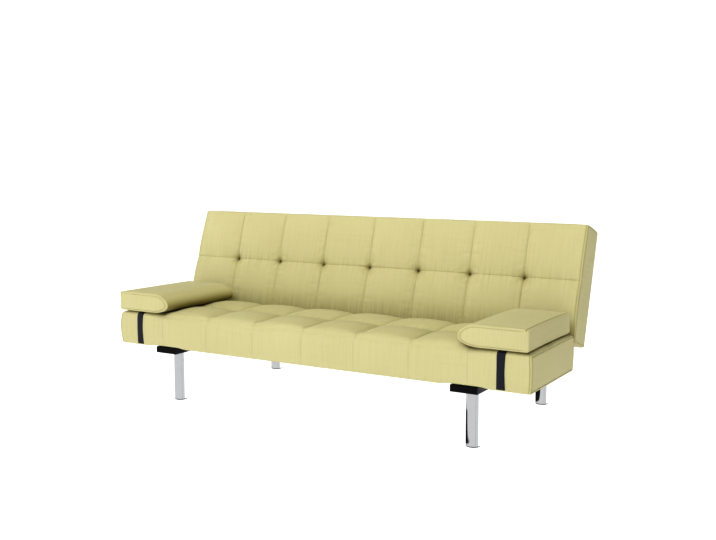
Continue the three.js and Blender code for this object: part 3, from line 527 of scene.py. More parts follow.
scene.world = make_world(strength=0.22, wall=0.76, window=1.5)
print("nodes in the world:", len(scene.world.node_tree.nodes))


# %% [markdown]
# ## Surfaces from numpy
#
# A padded block is easiest to shape when its faces are grids: six grids of points that share their
# edges. Cutting a pocket is then a matter of leaving cells out. The grid has extra lines where a seam
# needs sharp detail. Every later change, such as rounding an edge or raising a pillow, is a formula on
# the whole array of points.

# %% Grids
# Places closer than the first count as one, and a point nearer than the second lies on a side
CLOSEST = 0.7 * MM
TOUCH = 1e-5
TINY = 1e-9


def ease(value, low, high):
    """0 below low, 1 above high, and the smooth cubic 3t2 - 2t3 in between."""
    t = np.clip((value - low) / (high - low), 0, 1)
    return t * t * (3 - 2 * t)


def bell(distance, width):
    """1 at distance 0, falling off as exp(-(distance / width)^2)."""
    return np.exp(-(distance / width) ** 2)


def graded(low, high, step, exact, near=()):
    """Places from low to high: all exact ones, near ones that keep off those, and even ones between."""
    exact = np.unique(np.round(np.append(exact, [low, high]), 6))
    even = np.linspace(low, high, round((high - low) / step) + 1)
    for places, gap in ((np.asarray(near, float), CLOSEST), (even, step / 2)):
        places = np.unique(np.round(places[(places > low) & (places < high)], 6))
        if len(places):
            places = places[np.abs(places[:, None] - exact[None, :]).min(axis=1) > gap]
            exact = np.sort(np.concatenate([exact, places]))
    return exact


def block_surface(axes, holes):
    """The closed surface of a block of cells without the cells of its holes.

    A face lies wherever a full cell meets an empty one, so a pocket gets its walls too. The UV of a face
    is its place on the flat side that it belongs to, in metres.
    """
    middles = [(line[1:] + line[:-1]) / 2 for line in axes]
    full = np.ones([len(middle) for middle in middles], bool)
    for low, high in holes:
        inside = [np.flatnonzero((m > a) & (m < b)) for m, a, b in zip(middles, low, high)]
        full[np.ix_(*inside)] = False
    room = np.pad(full.astype(np.int8), 1)
    corners, uvs = [], []
    for axis in range(3):
        others = [(axis + 1) % 3, (axis + 2) % 3]
        steps = np.diff(room, axis=axis)
        trim = [slice(1, -1)] * 3
        trim[axis] = slice(None)
        steps = steps[tuple(trim)]
        flat_axes = {0: (1, 2), 1: (0, 2), 2: (0, 1)}[axis]
        for sign in (-1, 1):
            turn = np.array([(0, 0), (1, 0), (1, 1), (0, 1)][::-sign])
            corner = np.repeat(np.argwhere(steps == sign)[:, None, :], 4, axis=1)
            corner[:, :, others[0]] += turn[:, 0]
            corner[:, :, others[1]] += turn[:, 1]
            corners.append(corner)
            uvs.append(np.stack([axes[a][corner[:, :, a]] for a in flat_axes], axis=2))
    corner = np.concatenate(corners)
    size = [len(line) for line in axes]
    number = np.ravel_multi_index(corner.reshape(-1, 3).T, size)
    used, faces = np.unique(number, return_inverse=True)
    place = np.stack(np.unravel_index(used, size), axis=1)
    points = np.stack([axes[a][place[:, a]] for a in range(3)], axis=1)
    return points, faces.reshape(-1, 4), np.concatenate(uvs)


def soft_block(flat, size, side_radius, top_radius, under_radius):
    """Rounds a block that spans 0 to size in the second and third axis and +-size / 2 in the first.

    First its four upright edges are rounded in plan. Then each point within a radius of the top or the
    bottom edge goes to the quarter circle there: its offset from the circle's centre keeps its direction
    and gets the radius as its length.
    """
    half = np.array([size[0] / 2, size[1] / 2])
    plan = flat[:, :2] - [0, size[1] / 2]
    inner = np.clip(plan, -(half - side_radius), half - side_radius)
    away = plan - inner
    length = np.linalg.norm(away, axis=1)
    shrink = np.where(length > side_radius, side_radius / np.maximum(length, TINY), 1)
    plan = inner + away * shrink[:, None]
    beyond = np.abs(plan) - (half - side_radius)
    corner = np.maximum(beyond, 0)
    depth = side_radius - np.linalg.norm(corner, axis=1) - np.minimum(beyond.max(axis=1), 0)
    outward = np.where((beyond.max(axis=1) > 0)[:, None], corner, beyond == beyond.max(axis=1)[:, None])
    outward = outward * np.sign(plan) / np.maximum(np.linalg.norm(outward, axis=1), TINY)[:, None]
    height = flat[:, 2].copy()
    for radius, level, sign in ((top_radius, size[2], 1), (under_radius, 0, -1)):
        radius = np.broadcast_to(radius, height.shape)
        reach_out = np.maximum(radius - depth, 0)
        reach_up = np.maximum(sign * (height - level) + radius, 0)
        length = np.hypot(reach_out, reach_up)
        shrink = np.where((length > radius) & (reach_up > 0), radius / np.maximum(length, TINY), 1)
        plan = plan + outward * (reach_out * (shrink - 1))[:, None]
        height = np.where(shrink < 1, level - sign * radius + sign * reach_up * shrink, height)
        depth = depth + reach_out * (1 - shrink)
    return np.column_stack([plan[:, 0], plan[:, 1] + size[1] / 2, height])


# %% Meshes from arrays
def piece_from(name, points, faces, finish, uvs=None, extras=None, sharp=None):
    """A smooth mesh object from arrays. Faces and UVs are lists of arrays, one for each count of sides."""
    mesh = bpy.data.meshes.new(name)
    corners = np.concatenate([np.ravel(part) for part in faces])
    sides = np.concatenate([np.full(len(part), np.shape(part)[1]) for part in faces])
    mesh.vertices.add(len(points))
    mesh.vertices.foreach_set("co", np.asarray(points, np.float32).ravel())
    mesh.loops.add(len(corners))
    mesh.loops.foreach_set("vertex_index", corners.astype(np.int32))
    mesh.polygons.add(len(sides))
    mesh.polygons.foreach_set("loop_start", (np.cumsum(sides) - sides).astype(np.int32))
    mesh.polygons.foreach_set("use_smooth", np.ones(len(sides), bool))
    mesh.update(calc_edges=True)
    if uvs is not None:
        layer = mesh.uv_layers.new(name="weave")
        layer.data.foreach_set("uv", np.concatenate([np.ravel(part) for part in uvs]).astype(np.float32))
    for key, values in (extras or {}).items():
        attribute = mesh.attributes.new(key, "FLOAT", "POINT")
        attribute.data.foreach_set("value", np.asarray(values, np.float32))
    if sharp:
        mesh.set_sharp_from_angle(angle=math.radians(sharp))
    mesh.materials.append(finish)
    mesh.validate()
    made = bpy.data.objects.new(name, mesh)
    scene.collection.objects.link(made)
    return made


def grid_faces(rows, count, rows_close=False, count_closes=True):
    """Quads between the neighbours in rows of count points, numbered row by row."""
    row, step = np.meshgrid(np.arange(rows - (not rows_close)), np.arange(count - (not count_closes)),
                            indexing="ij")
    ahead, after = (row + 1) % rows, (step + 1) % count
    quads = [row * count + step, ahead * count + step, ahead * count + after, row * count + after]
    return np.stack(quads, axis=2).reshape(-1, 4)


def pole_faces(rows, count):
    """Triangles from the first and the last row to two poles, whose numbers follow those of the rows."""
    step = np.arange(count)
    after = np.roll(step, -1)
    end = (rows - 1) * count
    pole = np.full(count, rows * count)
    first = np.stack([step, after, pole], 1)
    return np.concatenate([first, np.stack([end + after, end + step, pole + 1], 1)])


def grid_uvs(u, u_after, v):
    """The UV corners of grid_faces: the places round a row, the places after them, and the rows' places."""
    u, u_after = (line[None].repeat(len(v) - 1, 0) for line in (u, u_after))
    v, v_after = (line[:, None].repeat(u.shape[1], 1) for line in (v[:-1], v[1:]))
    pairs = ((u, v), (u, v_after), (u_after, v_after), (u_after, v))
    return np.stack([np.stack(pair, 2) for pair in pairs], 2).reshape(-1, 4, 2)


def dress(piece, body, slot, *nodes):
    """Fixes a piece to its body and hides the plain solids that it stands for. The slot is not used."""
    if nodes:
        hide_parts(*nodes)
    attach(piece, body)


# %% [markdown]
# ## Quilting
#
# The seat and the back are quilted alike: eight columns of 225 mm and two rows. Each field swells to a
# pillow. Its height is the product of one curve across the column and one across the row, both zero at
# the seams, so seams come out as narrow valleys. At the seat's front edge and the back's top edge the
# cover simply rolls over, so the pillows there fade into the edge and keep part of their height.

# %% Quilting curves
LENGTH = 1.8
HALF = LENGTH / 2
COLUMNS = 8
PITCH = LENGTH / COLUMNS
SEAMS = np.arange(1, COLUMNS) * PITCH - HALF
SEAM_STEPS = np.array([0, 1.3, 3, 5.5, 9, 14]) * MM
EDGE_STEPS = np.array([1.5, 3, 4.3, 5.4, 6.2, 7, 7.8, 8.6, 10, 12.5, 16, 20, 26]) * MM
FACE_CELL, DEPTH_CELL = 6 * MM, 8 * MM


def around(places, steps):
    """The places with the steps added on both sides."""
    steps = np.concatenate([-steps, steps])
    return (np.asarray(places, float)[:, None] + steps[None, :]).ravel()


def pad_axis(low, high, cell, exact, seams=()):
    """Places along one axis of a pad, close together beside its seams and its two edges."""
    near = np.concatenate([around(seams, SEAM_STEPS), around([low, high], EDGE_STEPS)])
    return graded(low, high, cell, exact, near)


def both_sides(*places):
    """The mirror images of places on the right hand side, and the places themselves."""
    return [side * place for side in (-1, 1) for place in places]


def slot_pair(middle, half, low, high):
    """A box round each of two mirrored middles, from low to high in the other two axes."""
    return [((place - half, *low), (place + half, *high)) for place in both_sides(middle)]


def pillow(share, sharp, full):
    """One swelling between two seams, from share 0 to share 1: (1 - |2s - 1| ^ sharp) ^ full."""
    return np.maximum(1 - np.abs(2 * share - 1) ** sharp, 0) ** full


def column_of(x):
    """The share of the way across the column that holds x, from 0 at its left seam to 1."""
    return ((x + HALF) / PITCH) % 1.0


def row_swell(v, rows, lips, sharp, full):
    """The swelling across two rows. A lip is the share of the height kept at an outer edge."""
    low, seam, high = rows
    share = np.where(v < seam, (v - low) / (seam - low), (v - seam) / (high - seam))
    swell = pillow(np.clip(share, 0, 1), sharp, full)
    for lip, here in ((lips[0], (v < seam) & (share < 0.5)), (lips[1], (v > seam) & (share > 0.5))):
        swell = np.where(here, lip + (1 - lip) * swell, swell)
    return swell


def seam_distance(x):
    """How far x is from the nearest cross seam."""
    return np.abs(x[:, None] - SEAMS[None, :]).min(axis=1)


def row_share(v, rows):
    """The place across the two rows: 0 and 2 at the outer edges and 1 at the seam between them."""
    return np.interp(v, rows, (0, 1, 2))


# %% [markdown]
# ## Folds from a simulation
#
# Sewn cloth is a little longer than the wadding under it, so it gathers in short folds beside its seams.
# They come from a simulation: a flat patch of two columns by two rows is held along its seams, grows by
# 3 percent and is blown up by an even pressure, without gravity. What its four pillows have in common is
# taken away, because the formulas above give that already. What stays is the folds. They are laid over
# every two columns of the seat and the back, turned round on every second pair.

# %% Swelling a patch
FOLD_STEPS = 30
FOLD_LIMIT = 3 * MM
LAST_MOMENT = 20
SEED, UNEVEN = 7, 0.4 * MM
SWELL = {
    "quality": 6, "mass": 0.3, "air_damping": 2, "tension_stiffness": 40, "compression_stiffness": 10,
    "shear_stiffness": 8, "bending_stiffness": 0.15, "use_pressure": True, "uniform_pressure_force": 40,
    "vertex_group_mass": "held", "shrink_min": -0.03,
}


def swollen_patch():
    """The height of the patch after twenty steps of the simulation, as a square array."""
    count = 2 * FOLD_STEPS + 1
    line = np.linspace(0, 2 * PITCH, count)
    grid = np.stack(np.meshgrid(line, line, indexing="ij"), axis=2).reshape(-1, 2)
    uneven = np.random.default_rng(SEED).uniform(0, UNEVEN, len(grid))
    quads = grid_faces(count, count, count_closes=False)
    patch = piece_from("patch", np.column_stack([grid, uneven]), [quads], LINEN)
    on_seam = np.arange(count) % FOLD_STEPS == 0
    held = np.flatnonzero((on_seam[:, None] | on_seam[None, :]).ravel())
    patch.vertex_groups.new(name="held").add(held.tolist(), 1.0, "REPLACE")
    cloth = patch.modifiers.new("swell", "CLOTH")
    for key, value in SWELL.items():
        setattr(cloth.settings, key, value)
    cloth.settings.effector_weights.gravity = 0
    cloth.point_cache.frame_start, cloth.point_cache.frame_end = 1, LAST_MOMENT
    for moment in range(1, LAST_MOMENT + 1):
        scene.frame_set(moment)
    swollen = patch.evaluated_get(bpy.context.evaluated_depsgraph_get())
    moved = np.empty(3 * len(grid), np.float32)
    swollen.data.vertices.foreach_get("co", moved)
    bpy.data.objects.remove(patch)
    scene.frame_set(1)
    return moved[2::3].reshape(count, count).astype(float)


def folds_of(height):
    """The height without what its four pillows and their mirror images share, at most 3 mm either way."""
    last = FOLD_STEPS + 1
    cells = [height[i:i + last, j:j + last] for i in (0, FOLD_STEPS) for j in (0, FOLD_STEPS)]
    alike = [cell[::a, ::b] for cell in cells for a in (1, -1) for b in (1, -1)]
    shared = np.mean(alike + [cell.T for cell in alike], axis=0)
    whole = np.concatenate([shared[:-1], shared])
    folds = height - np.concatenate([whole[:, :-1], whole], axis=1)
    return np.clip(folds, -FOLD_LIMIT, FOLD_LIMIT)


FOLDS = folds_of(swollen_patch())
print("tallest fold in mm:", round(float(FOLDS.max()) / MM, 2))


# %% Reading the folds
def folds_at(x, v, rows, turned_over=False):
    """The height of the folds at each place, in between the patch's points by two straight lines."""
    column = (x + HALF) / PITCH
    across = column % 4
    across = np.where(across > 2, 4 - across, across) * FOLD_STEPS
    along = row_share(v, rows) * FOLD_STEPS
    field = FOLDS.T if turned_over else FOLDS
    across, along = (np.clip(place, 0, 2 * FOLD_STEPS - 0.001) for place in (across, along))
    i, j = across.astype(int), along.astype(int)
    s, t = across - i, along - j
    near = field[i, j] * (1 - s) + field[i + 1, j] * s
    far = field[i, j + 1] * (1 - s) + field[i + 1, j + 1] * s
    return near * (1 - t) + far * t


# %% Edges and ends
WELT_WIDTH, WELT_RISE = 4 * MM, 0.8 * MM
GROOVE_PLACE, GROOVE_WIDTH, GROOVE_DEPTH = 7 * MM, 1.5 * MM, 2.0 * MM


def welt_lines(flat, size):
    """The welt round each end panel and the groove on either side of it, as weights from 0 to 1."""
    from_end = size[0] / 2 - np.abs(flat[:, 0])
    from_rim = np.minimum.reduce([flat[:, 1], size[1] - flat[:, 1], flat[:, 2], size[2] - flat[:, 2]])
    distance = np.where(from_end < TOUCH, from_rim, from_end)
    outer = (from_rim < TOUCH) | (from_end < TOUCH)
    return bell(distance, WELT_WIDTH) * outer, bell(distance - GROOVE_PLACE, GROOVE_WIDTH) * outer


def welt_relief(flat, size):
    """How far the welt moves the surface out."""
    ridge, groove = welt_lines(flat, size)
    return WELT_RISE * ridge - GROOVE_DEPTH * groove


def outward_sides(flat, size):
    """The direction straight out of the flat side or sides that each point lies on."""
    sides = np.zeros_like(flat)
    sides[:, 0] = (flat[:, 0] > size[0] / 2 - TOUCH) * 1.0 - (flat[:, 0] < TOUCH - size[0] / 2)
    sides[:, 1] = (flat[:, 1] > size[1] - TOUCH) * 1.0 - (flat[:, 1] < TOUCH)
    sides[:, 2] = (flat[:, 2] > size[2] - TOUCH) * 1.0 - (flat[:, 2] < TOUCH)
    return sides / np.maximum(np.linalg.norm(sides, axis=1), 1)[:, None]


def ends_of(flat, size):
    """1 on the two end panels in the middle of their height and depth, falling to 0 at their rims."""
    middle = np.sin(np.pi * np.clip(flat[:, 1] / size[1], 0, 1))
    middle = middle * np.sin(np.pi * np.clip(flat[:, 2] / size[2], 0, 1))
    return (np.abs(flat[:, 0]) > size[0] / 2 - TOUCH) * middle


def crease_at(distance, depth, width):
    """The valley that a seam draws into a pillow, as a depth."""
    return depth * bell(distance, width)


# %% [markdown]
# ## The seat
#
# The seat pad is 431 mm deep and 127 mm thick. Its end panels are sewn in with a narrow welt, its front
# rolls over into the top, and the arm cushions press its outer columns nearly flat. Its lower rim hangs
# a little below the frame, but not where the rails carry it. Below, a pocket holds the wooden frame. The
# formula takes a flat point of the block to its place on the soft pad, so the same formula later lays
# the straps round it.

# %% Seat shape
SEAT_SIZE = (LENGTH, 0.431, 0.127)
SEAT_RIM, SEAT_UNDER = 22.3 * MM, 0.3 * MM
SEAT_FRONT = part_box("seat_front_board")[0].y - SEAT_RIM
SEAT_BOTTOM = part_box("seat_dust_cover")[0].z - SEAT_UNDER
SEAT_GROOVE = SEAT_SIZE[1] / 2
SEAT_ROWS = (0, SEAT_GROOVE, SEAT_SIZE[1])
SEAT_LIPS = (0.26, 0.0)
SEAT_CROWN = 0.0215
SEAT_OVERALL = 0.006
SEAT_SIDE_RADIUS, SEAT_UNDER_RADIUS = 9 * MM, 6 * MM
PRESSED = 0.25
RAIL_X = 0.6605
REAR_FLOOR, REAR_SHARE = 0.2, 0.75
FRONT_LOSS = 0.05
LEFT_BOW, RIGHT_BOW = 11, 3
RIM_HANG = 4.5 * MM


def free_share(x):
    """1 in the columns that no arm cushion presses on, falling to 0 in the outer two."""
    return 1 - ease(np.abs(x), 0.655, 0.695)


def seat_rise(x, y):
    """How far the quilted top stands above the block's flat top."""
    rows = row_swell(y, SEAT_ROWS, SEAT_LIPS, 2.3, 0.8)
    across = pillow(column_of(x), 2.3, 0.75)
    across = np.where(y < SEAT_GROOVE, across, REAR_FLOOR + REAR_SHARE * across)
    roll = 1 - ease(y, 0.004, 0.056)
    across = across + (0.8 - across) * roll * free_share(x)
    rows = rows * (1 - FRONT_LOSS * (y < SEAT_GROOVE))
    whole = SEAT_OVERALL * np.sin(np.pi * np.clip(y / SEAT_SIZE[1], 0, 1))
    crease = crease_at(seam_distance(x), 2.2 * MM, 2.2 * MM) * ease(y, 0.01, 0.06)
    crease = crease + crease_at(y - SEAT_GROOVE, 2.6 * MM, 3.2 * MM)
    load = PRESSED + (1 - PRESSED) * free_share(x)
    folds = folds_at(x, y, SEAT_ROWS, True) * ease(y, 0.0, 0.05)
    return (SEAT_CROWN * rows * across + whole) * load + (folds - crease) * load


def seat_form(flat):
    """Takes flat block points to the soft seat, in the sofa's frame."""
    x, y, z = flat.T
    free = ease(HALF - np.abs(x), 0.12, 0.30)
    points = soft_block(flat, SEAT_SIZE, SEAT_SIDE_RADIUS, (13 + 25 * free) * MM, SEAT_UNDER_RADIUS)
    up = z / SEAT_SIZE[2]
    points[:, 2] += seat_rise(x, y) * ease(z, 0.070, SEAT_SIZE[2])
    front = (y < TOUCH) * np.sin(np.pi * up) * (1 - np.abs(x / HALF) ** 14)
    swell = 3.6 + 1.2 * pillow(column_of(x), 2, 0.6)
    points[:, 1] -= front * (swell - 1.3 * bell(seam_distance(x), 2.4 * MM)) * MM
    bow = np.where(x < 0, LEFT_BOW, RIGHT_BOW) * MM * np.sin(np.pi * up) * ease(np.abs(x), 0.84, 0.89)
    points[:, 0] += np.sign(x) * (ends_of(flat, SEAT_SIZE) * 3 * MM + bow)
    points += outward_sides(flat, SEAT_SIZE) * welt_relief(flat, SEAT_SIZE)[:, None]
    rim = np.minimum(y, HALF - np.abs(x))
    rails = ease(np.abs(np.abs(x) - RAIL_X), 0.056, 0.10)
    points[:, 2] -= RIM_HANG * (1 - ease(z, 0, 0.05)) * (1 - ease(rim, 0.008, 0.021)) * rails
    return points + [0, SEAT_FRONT, SEAT_BOTTOM]


# %% Seat pad
POCKET_END = 0.878
POCKET_DEPTH = 0.066
SEAT_POCKET = (0.022, 0.409)
ARM_SLOT_X, ARM_SLOT_HALF = 0.656, 0.0035
ARM_SLOT_FRONT = 0.38
ARM_SLOT_HEIGHTS = (0.015, 0.042)
BEYOND = 1
SEAM_SHADE = 0.004


def seat_shades(flat):
    """How hard the cloth of the seat is pulled, which sets its gathers, and how much painted shade darkens
    it, at each flat point.
    """
    near = np.minimum(seam_distance(flat[:, 0]), np.abs(flat[:, 1] - SEAT_GROOVE))
    on_top = flat[:, 2] > SEAT_SIZE[2] - TOUCH
    pull_and_fold_shade = np.exp(-near / 0.02) * on_top * 0.35
    in_row = flat[:, 1] % SEAT_GROOVE / SEAT_GROOVE
    # Painted shade: darker away from the front edge and towards the rear of each row, along the seams, down
    # the seams of the front face and in the welt grooves
    painted_shade = 0.10 * ease(flat[:, 1], 0.0, 0.08) + 0.29 * ease(in_row, 0.35, 1.0)
    painted_shade = painted_shade + 0.26 * np.exp(-near / SEAM_SHADE)
    on_front = (flat[:, 1] < TOUCH) * np.sin(np.pi * flat[:, 2] / SEAT_SIZE[2]) ** 0.5
    painted_shade = painted_shade * on_top + 0.14 * bell(seam_distance(flat[:, 0]), 2.6 * MM) * on_front
    return {"pull_and_fold_shade": pull_and_fold_shade, "painted_shade": np.maximum(painted_shade, 0.55 * welt_lines(flat, SEAT_SIZE)[1])}


def seat_pad_piece():
    """The seat pad with its pocket and the two slots that its hinge arms pass through."""
    depth, height = SEAT_SIZE[1:]
    pocket = ((-POCKET_END, SEAT_POCKET[0], -BEYOND), (POCKET_END, SEAT_POCKET[1], POCKET_DEPTH))
    low, high = ARM_SLOT_HEIGHTS
    slots = slot_pair(ARM_SLOT_X, ARM_SLOT_HALF, (ARM_SLOT_FRONT, low), (BEYOND, high))
    walls = both_sides(POCKET_END, ARM_SLOT_X - ARM_SLOT_HALF, ARM_SLOT_X + ARM_SLOT_HALF)
    xs = pad_axis(-HALF, HALF, FACE_CELL, walls, SEAMS)
    ys = pad_axis(0, depth, FACE_CELL, [*SEAT_POCKET, SEAT_GROOVE], [SEAT_GROOVE])
    zs = pad_axis(0, height, DEPTH_CELL, [low, high, POCKET_DEPTH])
    flat, faces, uvs = block_surface((xs, ys, zs), [pocket, *slots])
    made = piece_from("seat_cushion", seat_form(flat), [faces], LINEN, [uvs], seat_shades(flat))
    print("seat cushion faces:", len(faces))
    dress(made, "seat", "lime_fabric", "seat_pad")


seat_pad_piece()

# %% [markdown]
# ## The back
#
# The back is the same kind of pad stood on edge and leaning 17.5 degrees. Seven covered buttons draw it
# in where the seams cross. Its formula is written lying down, with the quilted face up, and then turned
# into place. Two slots at the lower edge leave room for the hinges, behind a thin skin of cloth.

# %% Back shape
BACK_SIZE = (LENGTH, 0.446, 0.123)
BACK_SEAM = 0.2306
BACK_ROWS = (0, BACK_SEAM, BACK_SIZE[1])
BACK_CROWN = 0.018
BACK_SIDE_RADIUS, BACK_FACE_RADIUS = 9 * MM, 11 * MM
SEAM_KEEPS = 0.62
LOWER_TURN = 1.35
LEAN = math.radians(17.5)
hinge = next(joint for joint in frame["record"]["behaviour"]["joints"] if joint["name"] == "back_recline")
PIVOT_Y, PIVOT_Z = hinge["pos_m"][1:]

# The pivot lies this far above the back's lower edge and this far behind its face
PIVOT_ABOVE, PIVOT_BEHIND = 0.0205, 0.020
BACK_CORNER = np.array([
    PIVOT_Y - PIVOT_ABOVE * math.sin(LEAN) - PIVOT_BEHIND * math.cos(LEAN),
    PIVOT_Z - PIVOT_ABOVE * math.cos(LEAN) + PIVOT_BEHIND * math.sin(LEAN)])


def lean_back(lying):
    """Stands a lying point up, quilted face forward, and leans it: a turn about X and a shift."""
    behind = BACK_SIZE[2] - lying[:, 2]
    up = lying[:, 1]
    y = BACK_CORNER[0] + behind * math.cos(LEAN) + up * math.sin(LEAN)
    z = BACK_CORNER[1] - behind * math.sin(LEAN) + up * math.cos(LEAN)
    return np.column_stack([lying[:, 0], y, z])


def button_pits(x, v):
    """How deep the buttons draw the cloth in: a narrow and a wide bell, with eight small folds round."""
    dx = x[:, None] - SEAMS[None, :]
    dv = (v - BACK_SEAM)[:, None]
    distance = np.hypot(dx, dv)
    folds = 1 + 0.25 * np.cos(8 * np.arctan2(dv, dx)) * ease(distance, 0.006, 0.02)
    pits = 8.5 * MM * bell(distance, 0.0115) + 4 * MM * bell(distance, 0.036) * folds
    return pits.sum(axis=1)


def back_rise(x, v):
    """How far the quilted face stands proud of the block's flat face.

    Each seam takes only a share of the height away, and the buttons take the rest. The lower row is
    fullest above its middle and turns in towards the seat. The outermost columns stay full to their end
    panels, which are cut as deep as the pillows.
    """
    share = np.clip(v / BACK_SEAM, 0, 1) ** LOWER_TURN
    lower = pillow(share, 2.0, 0.8)
    lower = np.where(share > 0.5, SEAM_KEEPS + (1 - SEAM_KEEPS) * lower, lower)
    upper = pillow(np.clip((v - BACK_SEAM) / (BACK_SIZE[1] - BACK_SEAM), 0, 1), 2.4, 0.75)
    rows = np.where(v < BACK_SEAM, lower, SEAM_KEEPS + (1 - SEAM_KEEPS) * upper)
    outermost = ease(np.abs(x), 0.79, 0.80)
    roll = ease(v, BACK_SIZE[1] - 0.05, BACK_SIZE[1])
    kept = (0.50 + 0.4 * roll) * (1 - outermost)
    across = kept + (1 - kept) * pillow(column_of(x), 2.4, 0.7)
    across = np.maximum(across, ease(np.abs(x), 0.77, 0.80) * (1 - 0.5 * ease(v, 0.22, 0.44)))
    crease = crease_at(seam_distance(x), 1.8 * MM, 2.0 * MM) * (1 - roll)
    crease = crease + crease_at(v - BACK_SEAM, 1.1 * MM, 1.8 * MM)
    inside = 1 - ease(np.abs(x), 0.882, 0.891)
    folds = folds_at(x, v, BACK_ROWS) * (1 - roll)
    return BACK_CROWN * rows * across + (folds - crease) * inside - button_pits(x, v)


def back_form(flat):
    """Takes flat block points to the soft back, in the sofa's frame."""
    x, v, w = flat.T
    points = soft_block(flat, BACK_SIZE, BACK_SIDE_RADIUS, BACK_FACE_RADIUS, BACK_SIDE_RADIUS)
    points[:, 2] += back_rise(x, v) * ease(w, 0.085, BACK_SIZE[2])
    top = (v > BACK_SIZE[1] - TOUCH) * np.sin(np.pi * w / BACK_SIZE[2])
    points[:, 1] += top * 2.5 * MM
    points[:, 0] += np.sign(x) * ends_of(flat, BACK_SIZE) * 4 * MM
    points += outward_sides(flat, BACK_SIZE) * welt_relief(flat, BACK_SIZE)[:, None]
    return lean_back(points)


# %% Back pad
BACK_POCKET = (0.074, 0.424)
HINGE_SLOT_HALF = 0.020
HINGE_SLOT_TOP, HINGE_SLOT_DEPTH = 0.084, 0.119


def back_shades(flat):
    """How hard the cloth of the back is pulled, which sets its gathers, and how much painted shade darkens
    it, at each flat point.
    """
    across = np.exp(-np.abs(flat[:, 1] - BACK_SEAM) / 0.03)
    low = 1 - ease(flat[:, 1], 0.0, 0.12)
    beside = np.exp(-seam_distance(flat[:, 0]) / 0.012)
    on_face = flat[:, 2] > BACK_SIZE[2] - TOUCH
    pull_and_fold_shade = np.clip(0.15 * beside + 0.35 * across + low, 0, 1) * on_face
    near = np.minimum(seam_distance(flat[:, 0]), np.abs(flat[:, 1] - BACK_SEAM))
    button = np.hypot(seam_distance(flat[:, 0]), flat[:, 1] - BACK_SEAM)
    # Painted shade: darker towards the bottom of the lower row, along the seams, round the buttons and in
    # the welt grooves
    painted_shade = 0.60 * (1 - ease(flat[:, 1], -0.03, 0.13)) + 0.12 * np.exp(-near / SEAM_SHADE)
    painted_shade = np.clip(painted_shade + 0.9 * bell(button, 0.010) + 0.25 * bell(button, 0.028), 0, 1) * on_face
    return {"pull_and_fold_shade": pull_and_fold_shade, "painted_shade": np.maximum(painted_shade, 0.55 * welt_lines(flat, BACK_SIZE)[1])}


def back_pad_piece():
    """The back pad with the pocket for its frame and the two slots for the hinges."""
    height, depth = BACK_SIZE[1:]
    pocket = ((-POCKET_END, BACK_POCKET[0], -BEYOND), (POCKET_END, BACK_POCKET[1], POCKET_DEPTH))
    slots = slot_pair(RAIL_X, HINGE_SLOT_HALF, (-BEYOND, -BEYOND), (HINGE_SLOT_TOP, HINGE_SLOT_DEPTH))
    walls = both_sides(POCKET_END, RAIL_X - HINGE_SLOT_HALF, RAIL_X + HINGE_SLOT_HALF)
    xs = pad_axis(-HALF, HALF, FACE_CELL, walls, SEAMS)
    vs = pad_axis(0, height, FACE_CELL, [*BACK_POCKET, HINGE_SLOT_TOP, BACK_SEAM], [BACK_SEAM])
    ws = pad_axis(0, depth, DEPTH_CELL, [POCKET_DEPTH, HINGE_SLOT_DEPTH])
    flat, faces, uvs = block_surface((xs, vs, ws), [pocket, *slots])
    made = piece_from("back_cushion", back_form(flat), [faces], LINEN, [uvs], back_shades(flat))
    print("back cushion faces:", len(faces))
    dress(made, "back", "lime_fabric", "back_pad")


back_pad_piece()

# %% [markdown]
# ## The panel behind the back
#
# A covered hardboard panel closes the back from behind. It is nearly flat, swells a little where the
# cloth lies over the wadding, and its edges are tucked in. It stays flat above the rails, where it is
# tacked to the hinge boards and lies on rubber pads in the bed, and two notches clear the hinges.

# %% Rear panel
PANEL_LOW, PANEL_HIGH, PANEL_END = 0.0745, 0.4237, 0.8777
PANEL_LAYERS = np.array([0.0003, 0.0018, 0.0033])
PANEL_CELL = 20 * MM
PANEL_SWELL, PANEL_TUCK = 2.6 * MM, 0.5 * MM
NOTCH_HALF, NOTCH_TOP = 0.0205, 0.0846


def rear_panel_piece():
    """A thin block whose outer face rises by (1 - |u|^6) (1 - |v|^6), but not above the rails."""
    walls = both_sides(RAIL_X - NOTCH_HALF, RAIL_X + NOTCH_HALF)
    xs = graded(-PANEL_END, PANEL_END, PANEL_CELL, walls, around([-PANEL_END, PANEL_END], EDGE_STEPS[:7]))
    rims = around([PANEL_LOW, PANEL_HIGH], EDGE_STEPS[:4])
    vs = graded(PANEL_LOW, PANEL_HIGH, PANEL_CELL, [NOTCH_TOP], rims)
    notches = slot_pair(RAIL_X, NOTCH_HALF, (-BEYOND, -BEYOND), (NOTCH_TOP, BEYOND))
    flat, faces, uvs = block_surface((xs, vs, PANEL_LAYERS), notches)
    u = np.abs(flat[:, 0]) / PANEL_END
    v = np.abs(2 * (flat[:, 1] - PANEL_LOW) / (PANEL_HIGH - PANEL_LOW) - 1)
    beside = ease(np.abs(np.abs(flat[:, 0]) - RAIL_X), 0.050, 0.130)
    swell = PANEL_SWELL * (1 - u ** 6) * (1 - v ** 6) * beside - PANEL_TUCK * (np.maximum(u, v) > 0.999)
    flat[:, 2] -= swell * (flat[:, 2] < 0.001)
    made = piece_from("rear_panel_cover", lean_back(flat), [faces], LINEN, [uvs], {"pull_and_fold_shade": 0 * u})
    print("rear panel faces:", len(faces))
    dress(made, "back", "lime_fabric", "back_rear_panel")


rear_panel_piece()

# %% [markdown]
# ## Turned pieces
#
# Buttons, tube legs and the heads of bolts and rivets are all round, so one function makes them: it
# turns an outline about an axis. The outline is a list of radius and height, from one pole to the other.

